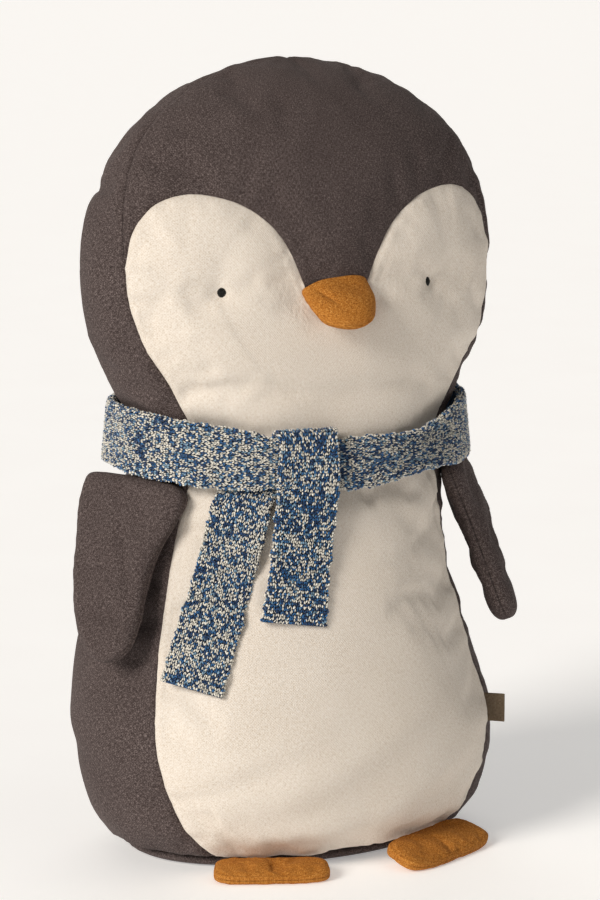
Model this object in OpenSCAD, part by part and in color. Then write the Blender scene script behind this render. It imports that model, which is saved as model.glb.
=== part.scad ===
// Standing stuffed penguin with padded wings and feet, a cloth beak and a knitted scarf.
// It faces -Y and stands on its base at z = 0. Its own left side is +X. Millimetres.

/* [Body] */
// Height from the base to the crown of the head
body_height = 545; // [535:1:560]
// Half width of the belly at its widest
belly_half_width = 149; // [142:1:154]
// Half depth of the belly at its deepest
belly_half_depth = 117; // [112:1:122]
// Half width of the head
head_half_width = 150; // [145:1:155]
// Half depth of the head
head_half_depth = 80; // [76:1:84]
// Thickness of a cloth panel with its seam allowance
cloth = 1.2; // [1:0.1:1.6]

/* [Base] */
// Height of the base panel's side band
base_band = 8; // [6:1:9]
// Height of the bag of pellets that keeps the penguin upright
pellet_height = 20; // [16:1:24]

/* [Face] */
// Angle of each eye from the middle of the face
eye_spread = 49; // [46:1:51]
// Height of the eyes
eye_height = 395; // [392:1:402]
// Length of the beak
beak_length = 31; // [28:1:36]
// Half width of the beak
beak_half_width = 23; // [20:1:25]

/* [Wings] */
// Length of a wing below its seam
wing_length = 130; // [120:1:134]
// Thickness of a wing at its fullest
wing_thickness = 19; // [15:1:19]
// Angle at which a wing hangs away from the body
wing_splay = 20; // [19:1:26]

/* [Feet] */
// How far the larger foot reaches in front of its seam
foot_length = 37; // [32:1:38]
// Width of the larger foot across its toes
foot_width = 100; // [88:1:100]
// Thickness of a foot
foot_thickness = 9; // [8:0.5:9]

/* [Scarf] */
// Width of the scarf
scarf_width = 46; // [42:1:46]
// Thickness of the folded knit round the neck
scarf_thickness = 6; // [5:0.5:6.5]
// Thickness of a hanging tail
tail_thickness = 4; // [3:0.5:4.5]

/* [Hidden] */

charcoal = "#4a4140";
natural = "#eadfce";
mustard = "#c07c2c";
denim = "#3f6ba0";
fibre = "#f4f3ee";

// ---- the stuffed form -------------------------------------------------------------------

// Height where the head is widest and its dome starts
dome_base = 405;
// Roundness of every cross-section: 2 is an ellipse
squareness = 2.1;
// Roundness of the dome
dome_power = 2.2;
// Each row: height, half width, half depth, shift to the back, sway to the side, seam angle
FORM = [
    [0, 116, 78, 0, 0, 49],
    [12, 127, 91, -1, 1, 54],
    [35, 141, 106, -2, 1, 59],
    [85, belly_half_width, belly_half_depth, 0, 0, 63],
    [135, 141, 113, 3, -4, 63],
    [185, 126, 104, 3, -5, 64],
    [235, 117, 92, 2, -3, 64],
    [290, 112, 82, -1, 0, 62],
    [325, 130, 77, -3, 2, 67],
    [360, 145, 79, -3, 3, 73],
    [dome_base, head_half_width, head_half_depth, -1, 3, 76]];
last_row = len(FORM) - 1;
seam_at_crown = 90;

function row_slope(k, c) = k == 0 || k == last_row ? 0
    : (FORM[k + 1][c] - FORM[k - 1][c]) / (FORM[k + 1][0] - FORM[k - 1][0]);
function row_below(z, k = 0) = k >= last_row - 1 || z < FORM[k + 1][0] ? k : row_below(z, k + 1);
// Smooth cubic through column c of the form at height z
function form(z, c) =
    let (k = row_below(z), gap = FORM[k + 1][0] - FORM[k][0], u = min(1, max(0, (z - FORM[k][0]) / gap)))
    FORM[k][c] * (1 + 2 * u) * (1 - u) * (1 - u) + row_slope(k, c) * gap * u * (1 - u) * (1 - u)
    + FORM[k + 1][c] * u * u * (3 - 2 * u) - row_slope(k + 1, c) * gap * u * u * (1 - u);
function dome_shrink(z) = z <= dome_base ? 1
    : sqrt(max(0, 1 - pow((z - dome_base) / (body_height - dome_base), dome_power)));
function seam_angle(z) = z <= dome_base ? form(z, 5)
    : FORM[last_row][5] + (seam_at_crown - FORM[last_row][5])
        * pow((z - dome_base) / (body_height - dome_base), 1.5);
function ring_radius(t, a, b) =
    pow(pow(abs(sin(t)) / a, squareness) + pow(abs(cos(t)) / b, squareness), -1 / squareness);
// Point of the surface at angle t from the front and height z, moved outward by off
function skin_point(t, z, off) =
    let (shrink = dome_shrink(z), a = shrink * (form(z, 1) + off), b = shrink * (form(z, 2) + off),
        r = ring_radius(t, a, b))
    [r * sin(t) + form(z, 4), form(z, 3) - r * cos(t),
        z <= dome_base ? z : dome_base + (z - dome_base) * (1 + off / (body_height - dome_base))];
function crown_point(off) = [form(dome_base, 4), form(dome_base, 3), body_height + off];

// ---- meshes -----------------------------------------------------------------------------

function flat_list(rows) = [for (r = rows) for (p = r) p];
// Triangles of a grid of m rows and n columns that starts at point s
function grid(m, n, s, flip) = [for (i = [0 : m - 2], j = [0 : n - 2])
    let (a = s + i * n + j, b = a + 1, c = a + n, d = c + 1)
    each flip ? [[a, d, b], [a, c, d]] : [[a, b, d], [a, d, c]]];
function fan(from, tip, n, flip) = [for (j = [0 : n - 2])
    flip ? [from + j, tip, from + j + 1] : [from + j, from + j + 1, tip]];
function wall(p, q, flip) = [for (j = [0 : len(p) - 2])
    each flip ? [[p[j], q[j + 1], p[j + 1]], [p[j], q[j], q[j + 1]]]
        : [[p[j], p[j + 1], q[j + 1]], [p[j], q[j + 1], q[j]]]];

// A cloth patch between an outer and an inner grid of rows, with each row running left to right
module patch(outer, inner, outer_tip = undef, inner_tip = undef) {
    m = len(outer);
    n = len(outer[0]);
    tip = is_undef(outer_tip) ? 0 : 1;
    s = m * n + tip;
    left = [for (i = [0 : m - 1]) i * n];
    right = [for (i = [0 : m - 1]) i * n + n - 1];
    low = [for (j = [0 : n - 1]) j];
    high = [for (j = [0 : n - 1]) (m - 1) * n + j];
    left_edge = tip == 1 ? concat(left, [m * n]) : left;
    right_edge = tip == 1 ? concat(right, [m * n]) : right;
    points = concat(flat_list(outer), tip == 1 ? [outer_tip] : [],
        flat_list(inner), tip == 1 ? [inner_tip] : []);
    faces = concat(
        grid(m, n, 0, true), grid(m, n, s, false),
        tip == 1 ? fan((m - 1) * n, m * n, n, true) : [],
        tip == 1 ? fan(s + (m - 1) * n, s + m * n, n, false) : [],
        wall(low, low + [for (j = low) s], false),
        tip == 1 ? [] : wall(high, high + [for (j = high) s], true),
        wall(left_edge, left_edge + [for (j = left_edge) s], true),
        wall(right_edge, right_edge + [for (j = right_edge) s], false));
    polyhedron(points, faces);
}

// A closed form from rings of n points, with a point at each end
module lofted(rings, start_tip, end_tip) {
    m = len(rings);
    n = len(rings[0]);
    loop = [for (i = [0 : m - 2], j = [0 : n - 1])
        let (a = i * n + j, b = i * n + (j + 1) % n, c = a + n, d = b + n)
        each [[a, d, b], [a, c, d]]];
    ends = [for (j = [0 : n - 1]) each [
        [j, (j + 1) % n, m * n],
        [(m - 1) * n + (j + 1) % n, (m - 1) * n + j, m * n + 1]]];
    polyhedron(concat(flat_list(rings), [start_tip, end_tip]), concat(loop, ends));
}

// A tube-like ring, closed on itself, from sections of n points
module closed_loop(sections) {
    m = len(sections);
    n = len(sections[0]);
    polyhedron(flat_list(sections), [for (i = [0 : m - 1], j = [0 : n - 1])
        let (a = i * n + j, b = i * n + (j + 1) % n, k = (i + 1) % m, c = k * n + j, d = k * n + (j + 1) % n)
        each [[a, b, d], [a, d, c]]]);
}

// Half width of the seam between two cloth edges
edge_gap = 0.2;
// Space between a cloth panel and the stuffing behind it
lining_gap = 0.3;

// ---- the body's panels ------------------------------------------------------------------

panel_rows = 20;
cap_rows = 9;
// Where the light face meets the dark cap: share of the way to the side seam, height
FACE_LINE = [[0, 384], [0.1, 387], [0.19, 393], [0.23, 402], [0.27, 413], [0.32, 425], [0.39, 437],
    [0.46, 445], [0.55, 453], [0.65, 458], [0.74, 460], [0.82, 458], [0.88, 453], [0.93, 444], [0.97, 432],
    [1, 412]];
face_columns = concat([for (i = [len(FACE_LINE) - 1 : -1 : 1]) [-FACE_LINE[i][0], FACE_LINE[i][1]]],
    FACE_LINE);
panel_bottom = base_band + 0.4;

function seam_inset(z) = 57.3 * edge_gap / form(z, 1);
// Face features sit slightly to one side of the middle, as hand-stuffed toys do
face_drift = -0.03;
function drifted(w) = w + face_drift * (1 - w * w);
function front_grid(off) = [for (i = [0 : panel_rows]) [for (c = face_columns)
    let (z = panel_bottom + (c[1] - edge_gap - panel_bottom) * i / panel_rows)
    skin_point(drifted(c[0]) * (seam_angle(z) - seam_inset(z)), z, off)]];
function cap_grid(off) = [for (i = [0 : cap_rows - 1]) [for (c = face_columns)
    let (z = c[1] + edge_gap + (body_height - c[1] - edge_gap) * sin(90 * i / cap_rows))
    skin_point(drifted(c[0]) * (seam_angle(z) - seam_inset(z)), z, off)]];
back_columns = 13;
back_rows = 26;
straight_rows = 18;
dome_height = body_height - dome_base;
function back_height(i) = i <= straight_rows
    ? panel_bottom + (dome_base - panel_bottom) * i / straight_rows
    : dome_base + dome_height * sin(90 * (i - straight_rows) / (back_rows - straight_rows + 1));
function back_grid(side, off) = [for (i = [0 : back_rows]) [for (j = [0 : back_columns])
    let (z = back_height(i), first = seam_angle(z) + seam_inset(z), last = 180 - seam_inset(z),
        u = j / back_columns)
    skin_point(side > 0 ? first + (last - first) * u : -last + (last - first) * u, z, off)]];

// Holes in the face for the eye threads
eye_hole = 3.2;
thread_hole = 2.6;
thread_size = 1.2;
// Angle of the face's middle from straight ahead
face_middle = -2.5;
function eye_angle(side) = side * eye_spread + face_middle;
function eye_place(side, off) = skin_point(eye_angle(side), eye_height, off);

module front_panel() {
    color(natural) difference() {
        patch(front_grid(0), front_grid(-cloth));
        eye_passage(eye_hole);
    }
}
module head_cap() {
    color(charcoal) patch(cap_grid(0), cap_grid(-cloth), crown_point(0) + [0, -edge_gap, 0],
        crown_point(-cloth) + [0, -edge_gap, 0]);
}
module back_panel(side) {
    color(charcoal) patch(back_grid(side, 0), back_grid(side, -cloth),
        crown_point(0) + [side * edge_gap, edge_gap, 0],
        crown_point(-cloth) + [side * edge_gap, edge_gap, 0]);
}
module back_panel_left() { back_panel(1); }
module back_panel_right() { back_panel(-1); }

// ---- base and weight --------------------------------------------------------------------

base_half_width = 122;
base_half_depth = 86;
oval_sides = 56;
function oval(a, b) = [for (i = [0 : oval_sides - 1])
    let (t = 360 * i / oval_sides, r = ring_radius(t, a, b)) [r * sin(t), -r * cos(t)]];
module oval_plate(inset, z, h) {
    translate([0, 0, z]) linear_extrude(height = h)
        polygon(oval(base_half_width - inset, base_half_depth - inset));
}
pellet_inset = 26;
bag_cloth = 1;
module base_panel() {
    color(charcoal) difference() {
        oval_plate(0, 0, base_band);
        oval_plate(cloth, cloth, base_band);
    }
}
pellet_floor = cloth + lining_gap;
pellet_top = pellet_floor + pellet_height;
// Upper cup and lower sheet of the bag, sewn together at the rim
module pellet_bag() {
    color("#d8cdb8") {
        oval_plate(pellet_inset, pellet_floor, bag_cloth);
        difference() {
            oval_plate(pellet_inset, pellet_floor + bag_cloth + edge_gap * 2,
                pellet_height - bag_cloth - edge_gap * 2);
            oval_plate(pellet_inset + bag_cloth, pellet_floor, pellet_height - bag_cloth);
        }
    }
}
module pellet_load() {
    color("#bfb9ac") oval_plate(pellet_inset + bag_cloth + lining_gap, pellet_floor + bag_cloth + edge_gap,
        pellet_height - 2 * bag_cloth - 2 * edge_gap);
}

fill_sides = 32;
fill_rows = 26;
// The stuffing stays clear of the flat facets of the cloth round it
fill_offset = -cloth - 2;
function fill_height(i) = i <= straight_rows
    ? pellet_floor + (dome_base - pellet_floor) * i / straight_rows
    : dome_base + dome_height * sin(90 * (i - straight_rows) / (fill_rows - straight_rows + 1));
// The stuffing narrows to fit inside the base band
band_pinch = 4;
function fill_off(z) = z < base_band + 1
    ? fill_offset - band_pinch * (base_band + 1 - z) / base_band : fill_offset;
module body_stuffing() {
    rings = [for (i = [0 : fill_rows]) let (z = fill_height(i))
        [for (j = [0 : fill_sides - 1]) skin_point(360 * j / fill_sides, z, fill_off(z))]];
    color(fibre) difference() {
        lofted(rings, [0, 0, pellet_floor], crown_point(fill_offset));
        oval_plate(pellet_inset - lining_gap, 0, pellet_top + lining_gap);
        eye_passage(thread_hole);
    }
}

// Hand stitches that close the back seam after stuffing
stitch_count = 9;
stitch_pitch = 7;
stitch_start = 120;
stitch_length = 5;
stitch_thread = 0.9;
stitch_lift = 0.8;
module closing_stitches() {
    color("#2e2726") for (i = [0 : stitch_count - 1]) {
        z = stitch_start + stitch_pitch * i;
        translate(skin_point(180, z, stitch_lift)) rotate([0, 90, 0])
            cylinder(h = stitch_length, d = stitch_thread, center = true, $fn = 24);
    }
}

// ---- face -------------------------------------------------------------------------------

module between(p, q, d) {
    v = q - p;
    translate(p) rotate([0, acos(v[2] / norm(v)), atan2(v[1], v[0])])
        cylinder(h = norm(v), d = d, $fn = 24);
}
// Where the eye thread turns towards the eyes, and how far its passage runs past the cloth
thread_turn = 30;
past_cloth = 0.1;
// A knot at each turn joins the stretches, which end inside it. Both are shares of the thread's diameter
knot_size = 1.5;
knot_reach = 0.375;
module eye_route(d, past) {
    for (side = [-1, 1]) {
        knot = [side * thread_turn, 0, eye_height];
        run = eye_place(side, 0) - knot;
        translate(knot) sphere(d = knot_size * d, $fn = 32);
        between(knot + run / norm(run) * knot_reach * d, knot + run * (1 + past), d);
    }
    middle_end = thread_turn - knot_reach * d;
    between([-middle_end, 0, eye_height], [middle_end, 0, eye_height], d);
}
module eye_passage(d) { eye_route(d, past_cloth); }
eye_wide = 5.4;
eye_tall = 7.6;
eye_deep = 5;
// Share of its place's angle by which an eye faces sideways
eye_facing = 0.72;
module eye(side) {
    p = eye_place(side, 1);
    color("#141214") translate(p) rotate([0, 0, eye_angle(side) * eye_facing]) difference() {
        scale([eye_wide, eye_deep, eye_tall]) sphere(d = 1, $fn = 32);
        translate([-eye_tall, 0, -eye_tall]) cube(2 * eye_tall);
    }
}
module eye_left() { eye(1); }
module eye_right() { eye(-1); }
// The thread that draws both eyes into the face, one long stitch through the head
module eye_thread() { color("#141214") eye_route(thread_size, 0); }

beak_tilt = 34;
// The beak was sewn on a little askew
beak_roll = 9;
beak_root = [-2, -87, 391.5];
beak_sides = 20;
// Each row: share of the length, half width, half height
BEAK = [[0, 0.93, 7.4], [0.2, 0.96, 8.2], [0.45, 0.9, 8.6], [0.7, 0.76, 7.4], [0.88, 0.52, 5],
    [0.96, 0.28, 2.8]];
// Half shell of the beak: side 1 is the upper half, side -1 the under half
function beak_half(side, off) = [for (r = BEAK) [for (j = [0 : beak_sides / 2])
    let (t = 180 * j / (beak_sides / 2) + (side > 0 ? 0 : 180),
        w = r[1] * beak_half_width + off, h = r[2] + off)
    [w * cos(t), h * sin(t) + side * edge_gap, r[0] * (beak_length + off)]]];
function beak_tip(side, off) = [0, side * edge_gap, beak_length + off];
module beak_shell(side) {
    color(mustard) beak_place() patch(beak_half(side, 0), beak_half(side, -cloth),
        beak_tip(side, 0), beak_tip(side, -cloth));
}
// Local z of the beak runs forward and down, local y is up
module beak_place() {
    translate(beak_root) rotate([90 + beak_tilt, 0, 0]) rotate([0, 0, beak_roll]) children();
}
module beak_upper() { beak_shell(1); }
module beak_under() { beak_shell(-1); }
module beak_stuffing() {
    off = -cloth - lining_gap;
    rings = [for (r = BEAK) [for (j = [0 : beak_sides - 1]) let (t = 360 * j / beak_sides)
        [(r[1] * beak_half_width + off) * cos(t), (r[2] + off) * sin(t), r[0] * (beak_length + off)]]];
    color(fibre) beak_place() lofted(rings, [0, 0, 0], [0, 0, beak_length + off]);
}

// ---- padded limbs -----------------------------------------------------------------------

// Rings of a pad: share of the way from its middle to its edge, share of the full height
PAD = [[0.4, 0.93], [0.7, 0.72], [0.9, 0.36], [1, 0.12]];
function pad_ring(outline, middle, k, h, off) = [for (p = outline)
    let (v = p - middle, q = middle + v * k * (1 + off / norm(v))) [q[0], q[1], h]];
// How far the lining and the filling stay inside the outline
lining_inset = 0.5;
filling_inset = 1;
// One cloth side of a pad, from the outline round to the seam: side 1 or -1 in local z
module pad_cloth(outline, middle, thick, side) {
    n = len(outline);
    half = thick / 2;
    m = len(PAD);
    outer = [for (r = PAD) pad_ring(outline, middle, r[0],
        side * (half * r[1] + (r[0] == 1 ? cloth : 0)), 0)];
    inner = [for (r = PAD) pad_ring(outline, middle, r[0],
        side * (r[0] == 1 ? edge_gap : max(edge_gap, half * r[1] - cloth)), r[0] == 1 ? 0 : -lining_inset)];
    points = concat(flat_list(outer), [[middle[0], middle[1], side * half]],
        flat_list(inner), [[middle[0], middle[1], side * (half - cloth)]]);
    s = m * n + 1;
    up = side > 0;
    faces = [for (j = [0 : n - 1]) let (k = (j + 1) % n) each concat(
        [turn([j, k, m * n], up), turn([s + j, s + k, s + m * n], !up)],
        [for (i = [0 : m - 2]) each [turn([i * n + j, (i + 1) * n + j, (i + 1) * n + k], up),
            turn([i * n + j, (i + 1) * n + k, i * n + k], up),
            turn([s + i * n + j, s + (i + 1) * n + j, s + (i + 1) * n + k], !up),
            turn([s + i * n + j, s + (i + 1) * n + k, s + i * n + k], !up)]],
        [turn([(m - 1) * n + j, s + (m - 1) * n + j, s + (m - 1) * n + k], up),
            turn([(m - 1) * n + j, s + (m - 1) * n + k, (m - 1) * n + k], up)])];
    polyhedron(points, faces);
}
function turn(f, up) = up ? [f[0], f[2], f[1]] : f;
// Rings of a pad's filling, from its low middle round its edge to its high middle: reach, height share
FILLING = [[0.38, -0.88], [0.66, -0.62], [0.86, -0.28], [0.86, 0.28], [0.66, 0.62], [0.38, 0.88]];
module pad_filling(outline, middle, thick) {
    half = thick / 2 - cloth - lining_gap;
    color(fibre) pad_loft([for (r = FILLING) pad_ring(outline, middle, r[0], half * r[1], -filling_inset)],
        [middle[0], middle[1], -half], [middle[0], middle[1], half]);
}
module pad_loft(rings, low, high) {
    m = len(rings);
    n = len(rings[0]);
    polyhedron(concat(flat_list(rings), [low, high]), concat(
        [for (i = [0 : m - 2], j = [0 : n - 1])
            let (a = i * n + j, b = i * n + (j + 1) % n, c = a + n, d = b + n) each [[a, d, b], [a, c, d]]],
        [for (j = [0 : n - 1]) each [[j, (j + 1) % n, m * n],
            [(m - 1) * n + (j + 1) % n, (m - 1) * n + j, m * n + 1]]]));
}

limb_points = 26;
function signed_power(v, k) = sign(v) * pow(abs(v), k);
// Wing outline in its own plane, drawn at its own length: x to the back edge, y up to the seam
drawn_wing_length = 130;
WING_OUTLINE = [[36.5, -50], [39, -34], [40, -20], [39, -8], [35, -1.5], [25, 0], [10, 0], [-5, 0],
    [-20, -0.5], [-33, -2.5], [-42, -6], [-46, -12], [-45, -20], [-41, -31], [-35, -44], [-30.5, -60],
    [-29, -80], [-28.5, -100], [-25, -116], [-17, -126], [-6, -130], [5, -127], [16, -117], [25, -100],
    [31, -80], [34.5, -65]];
function wing_outline() = [for (p = WING_OUTLINE) [p[0], p[1] * wing_length / drawn_wing_length]];
wing_middle = [-2, -wing_length / 2];
// Middle of the seam that joins a wing to the body, for the penguin's left side
wing_seam = [120, -15.6, 269.6];
wing_heading = 60;
wing_drop = 1;
module wing_place(side) {
    mirror([side > 0 ? 0 : 1, 0, 0]) translate(wing_seam) rotate([0, 0, wing_heading])
        rotate([90 - wing_splay, 0, 0]) translate([0, -wing_drop, 0]) children();
}
module wing_cloth(side, face) {
    color(charcoal) wing_place(side) pad_cloth(wing_outline(), wing_middle, wing_thickness, face);
}
module wing_filling(side) {
    wing_place(side) pad_filling(wing_outline(), wing_middle, wing_thickness);
}
module wing_left_outer() { wing_cloth(1, 1); }
module wing_left_inner() { wing_cloth(1, -1); }
module wing_left_stuffing() { wing_filling(1); }
module wing_right_outer() { wing_cloth(-1, 1); }
module wing_right_inner() { wing_cloth(-1, -1); }
module wing_right_stuffing() { wing_filling(-1); }

// The right foot was cut smaller than the left one
right_foot_share = 0.84;
function foot_share(side) = side > 0 ? 1 : right_foot_share;
// Foot outline in its own plane: x along the seam, y from the seam to the toes
foot_corner = 0.6;
foot_taper = 5;
function foot_outline(side) = [for (i = [0 : limb_points - 1])
    let (t = 360 * i / limb_points, c = cos(t), s = sin(t), y = (1 + signed_power(s, foot_corner)) / 2)
    foot_share(side) * [(foot_width / 2 - foot_taper * (1 - y)) * signed_power(c, foot_corner),
        foot_length * y]];
function foot_middle(side) = [0, foot_share(side) * foot_length / 2];
// A foot slopes down from its seam until it meets the floor
function foot_slope(side) = side > 0 ? 18 : 10;
floor_gap = 0.05;
function foot_rise(side) = let (slope = foot_slope(side), reach = foot_share(side) * foot_length)
    floor_gap + max([for (r = PAD) (1 + r[0]) / 2 * reach * sin(slope)
        + (foot_thickness / 2 * r[1] + (r[0] == 1 ? cloth : 0)) * cos(slope)]);
// Middle of each foot's seam and the way it turns out, both measured outward from the body's middle
function foot_seam(side) = side > 0 ? [62, -84, foot_rise(side)] : [52, -84.5, foot_rise(side)];
function foot_heading(side) = side > 0 ? 26 : 22;
module foot_place(side) {
    mirror([side > 0 ? 0 : 1, 0, 0]) translate(foot_seam(side)) rotate([0, 0, foot_heading(side)])
        rotate([0, 0, 180]) rotate([-foot_slope(side), 0, 0]) children();
}
module foot_cloth(side, face) {
    color(mustard) foot_place(side) pad_cloth(foot_outline(side), foot_middle(side), foot_thickness, face);
}
module foot_filling(side) {
    foot_place(side) pad_filling(foot_outline(side), foot_middle(side), foot_thickness);
}
module foot_left_upper() { foot_cloth(1, 1); }
module foot_left_sole() { foot_cloth(1, -1); }
module foot_left_wadding() { foot_filling(1); }
module foot_right_upper() { foot_cloth(-1, 1); }
module foot_right_sole() { foot_cloth(-1, -1); }
module foot_right_wadding() { foot_filling(-1); }

// ---- scarf ------------------------------------------------------------------------------

scarf_half_width = 124.5;
scarf_sway = 2;
scarf_half_depth = 91;
scarf_sections = 48;
knot_angle = -17;
function bump(t, middle, spread) = exp(-pow((t - middle) / spread, 2));
// Height of the band at the back, and how far it dips at the front
band_back = 293;
band_dip = 14;
function band_height(t) = band_back - band_dip * pow(max(0, cos(t)), 1.5);
// The band narrows under the knot and gathers beside it. Each row: angle, spread, narrowing
GATHERS = [[knot_angle, 20, 5], [28, 22, 7]];
band_ease = 2;
function band_half(t) = scarf_width / 2 - band_ease - GATHERS[0][2] * bump(t, GATHERS[0][0], GATHERS[0][1])
    - GATHERS[1][2] * bump(t, GATHERS[1][0], GATHERS[1][1]);
// Rounded flat section, as shares of half the thickness and half the width
BAND_SECTION = [[0.5, -1], [1, -0.92], [1, 0], [1, 0.92], [0.5, 1], [-0.5, 1], [-1, 0.92], [-1, 0],
    [-1, -0.92], [-0.5, -1]];
function band_section(t) = [for (p = BAND_SECTION)
    let (out = scarf_thickness / 2 * (1 + p[0]),
        r = ring_radius(t, scarf_half_width + out, scarf_half_depth + out))
    [r * sin(t) + scarf_sway, -1 - r * cos(t), band_height(t) + band_half(t) * p[1]]];
module scarf_band() {
    color(denim) closed_loop([for (i = [0 : scarf_sections - 1])
        band_section(-180 + 360 * i / scarf_sections)]);
}

// A strap's frame: outward is local -y, turned by its heading, then tipped outward and leaned sideways
module hang(origin, heading, pitch, lean) {
    translate(origin) rotate([0, 0, heading]) rotate([-pitch, 0, 0]) rotate([0, lean, 0]) children();
}
tail_width = 45;
knot_middle = [-28, -88.2, 0];
knot_heading = -9;
// The strap goes up behind the band, over it and down in front: outward distance, height
KNOT_OUTLINE = [[-4.3, 268], [-4.3, 298], [-3, 301.5], [0, 303.5], [8, 303.5], [11, 302], [12.1, 299],
    [12.1, 271], [8.1, 271], [8.1, 299], [7.5, 300], [0, 300], [-1.1, 298.5], [-1.1, 268]];
module scarf_knot() {
    color(denim) translate(knot_middle) rotate([0, 0, knot_heading])
        rotate([90, 0, -90]) translate([0, 0, -tail_width / 2])
            linear_extrude(height = tail_width) polygon(KNOT_OUTLINE);
}
// A flat hanging strap with a round top edge on its hinge line
module strap(width, length) {
    translate([-width / 2, -tail_thickness / 2, -length]) cube([width, tail_thickness, length]);
    translate([-width / 2, 0, 0]) rotate([0, 90, 0]) cylinder(h = width, d = tail_thickness, $fn = 32);
}
front_tail_hinge = [-30, -98.5, 264.5];
front_tail_length = 92;
front_tail_pitch = 5;
front_tail_lean = 8;
back_tail_hinge = [-69, -79.5, 257];
back_tail_length = 132;
back_tail_width = 42;
back_tail_heading = -32;
back_tail_pitch = 11;
back_tail_lean = 14;
module scarf_tail_front() {
    color(denim) hang(front_tail_hinge, knot_heading, front_tail_pitch, front_tail_lean)
        strap(tail_width, front_tail_length);
}
module scarf_tail_back() {
    color(denim) hang(back_tail_hinge, back_tail_heading, back_tail_pitch, back_tail_lean)
        strap(back_tail_width, back_tail_length);
}

// ---- side label -------------------------------------------------------------------------

label_reach = 12;
label_tall = 20;
label_layer = 0.6;
label_fold = 0.5;
label_height = 81;
label_turn = -34;
label_lift = 0.6;
// A blank woven strip folded into a loop and caught in the side seam
module side_label() {
    seam = skin_point(seam_angle(label_height + label_tall / 2), label_height, label_lift);
    color("#7a6a58") translate(seam) rotate([0, 0, label_turn]) linear_extrude(height = label_tall) {
        for (k = [-1, 1]) translate([0, k * (label_layer + label_fold) / 2 - label_layer / 2])
            square([label_reach, label_layer]);
        translate([label_reach - label_layer, -label_fold / 2 - label_layer])
            square([label_layer, label_fold + 2 * label_layer]);
    }
}

front_panel();
head_cap();
back_panel_left();
back_panel_right();
base_panel();
body_stuffing();
pellet_bag();
pellet_load();
closing_stitches();
beak_upper();
beak_under();
beak_stuffing();
eye_left();
eye_right();
eye_thread();
wing_left_outer();
wing_left_inner();
wing_left_stuffing();
wing_right_outer();
wing_right_inner();
wing_right_stuffing();
foot_left_upper();
foot_left_sole();
foot_left_wadding();
foot_right_upper();
foot_right_sole();
foot_right_wadding();
scarf_band();
scarf_knot();
scarf_tail_front();
scarf_tail_back();
side_label();
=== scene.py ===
"""Looks of the standing plush penguin: linen panels, padded wings and feet, a cloth beak and a knitted scarf.

Shapes are worked out in millimetres in the CAD frame: the penguin faces -Y and +Z is up.
"""

import math

import bpy
import numpy as np
from mathutils import Matrix, Vector, kdtree


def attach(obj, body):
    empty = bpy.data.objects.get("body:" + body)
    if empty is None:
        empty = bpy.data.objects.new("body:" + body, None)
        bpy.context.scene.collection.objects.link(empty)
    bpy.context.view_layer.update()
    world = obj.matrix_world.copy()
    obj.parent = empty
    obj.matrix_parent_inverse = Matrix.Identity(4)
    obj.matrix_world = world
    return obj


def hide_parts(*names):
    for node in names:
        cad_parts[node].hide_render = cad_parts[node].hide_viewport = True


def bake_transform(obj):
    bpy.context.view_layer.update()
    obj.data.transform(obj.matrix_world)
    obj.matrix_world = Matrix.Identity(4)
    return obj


bl_info = {
    "name": "Plush penguin",
    "version": (1, 0, 0),
    "blender": (4, 5, 0),
    "location": "3D View > Sidebar > Penguin",
    "description": "Builds the cloth, knit and stitching of a standing plush penguin",
    "category": "Object",
}

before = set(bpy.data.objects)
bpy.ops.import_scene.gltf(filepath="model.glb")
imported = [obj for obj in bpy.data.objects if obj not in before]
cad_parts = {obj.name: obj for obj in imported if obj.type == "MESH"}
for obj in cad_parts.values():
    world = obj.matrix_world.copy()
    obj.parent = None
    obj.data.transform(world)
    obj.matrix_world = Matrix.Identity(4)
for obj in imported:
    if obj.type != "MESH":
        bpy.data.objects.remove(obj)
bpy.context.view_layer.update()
MM = 0.001

# ---- the stuffed form, as the CAD source has it ------------------------------------------

BODY_HEIGHT = 545.0
DOME_BASE = 405.0
SQUARENESS = 2.1
DOME_POWER = 2.2
CROWN_SEAM_POWER = 1.5
# The panels' cloth rolls under to meet the base just above the floor
CLOTH_BOTTOM = 8.6
# Each row: height, half width, half depth, shift to the back, sway to the side, seam angle
FORM = np.array(
    [
        [0, 116, 78, 0, 0, 49],
        [12, 127, 91, -1, 1, 54],
        [35, 141, 106, -2, 1, 59],
        [85, 149, 117, 0, 0, 63],
        [135, 141, 113, 3, -4, 63],
        [185, 126, 104, 3, -5, 64],
        [235, 117, 92, 2, -3, 64],
        [290, 112, 82, -1, 0, 62],
        [325, 130, 77, -3, 2, 67],
        [360, 145, 79, -3, 3, 73],
        [405, 150, 80, -1, 3, 76],
    ],
    float,
)
WIDE, DEEP, BACK, SWAY, SEAM = 1, 2, 3, 4, 5
# Where the light face meets the dark cap: share of the way to the side seam, height
FACE_LINE = np.array(
    [
        [0, 384], [0.1, 387], [0.19, 393], [0.23, 402], [0.27, 413], [0.32, 425], [0.39, 437],
        [0.46, 445], [0.55, 453], [0.65, 458], [0.74, 460], [0.82, 458], [0.88, 453], [0.93, 444],
        [0.97, 432], [1, 412],
    ]
)
FACE_DRIFT = -0.03
EYE_SPREAD, EYE_MIDDLE, EYE_HEIGHT = 49.0, -2.5, 395.0
# Thickness of the panels' cloth
CLOTH_THICK = 1.2
# Strength of the seams' puckers: side seams of the body and of the dome, face line, back seam, base seam
SIDE_PULL, DOME_PULL, FACE_PULL, BACK_PULL, BASE_PULL = 1.25, 0.4, 0.9, 0.8, 0.9


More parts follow.
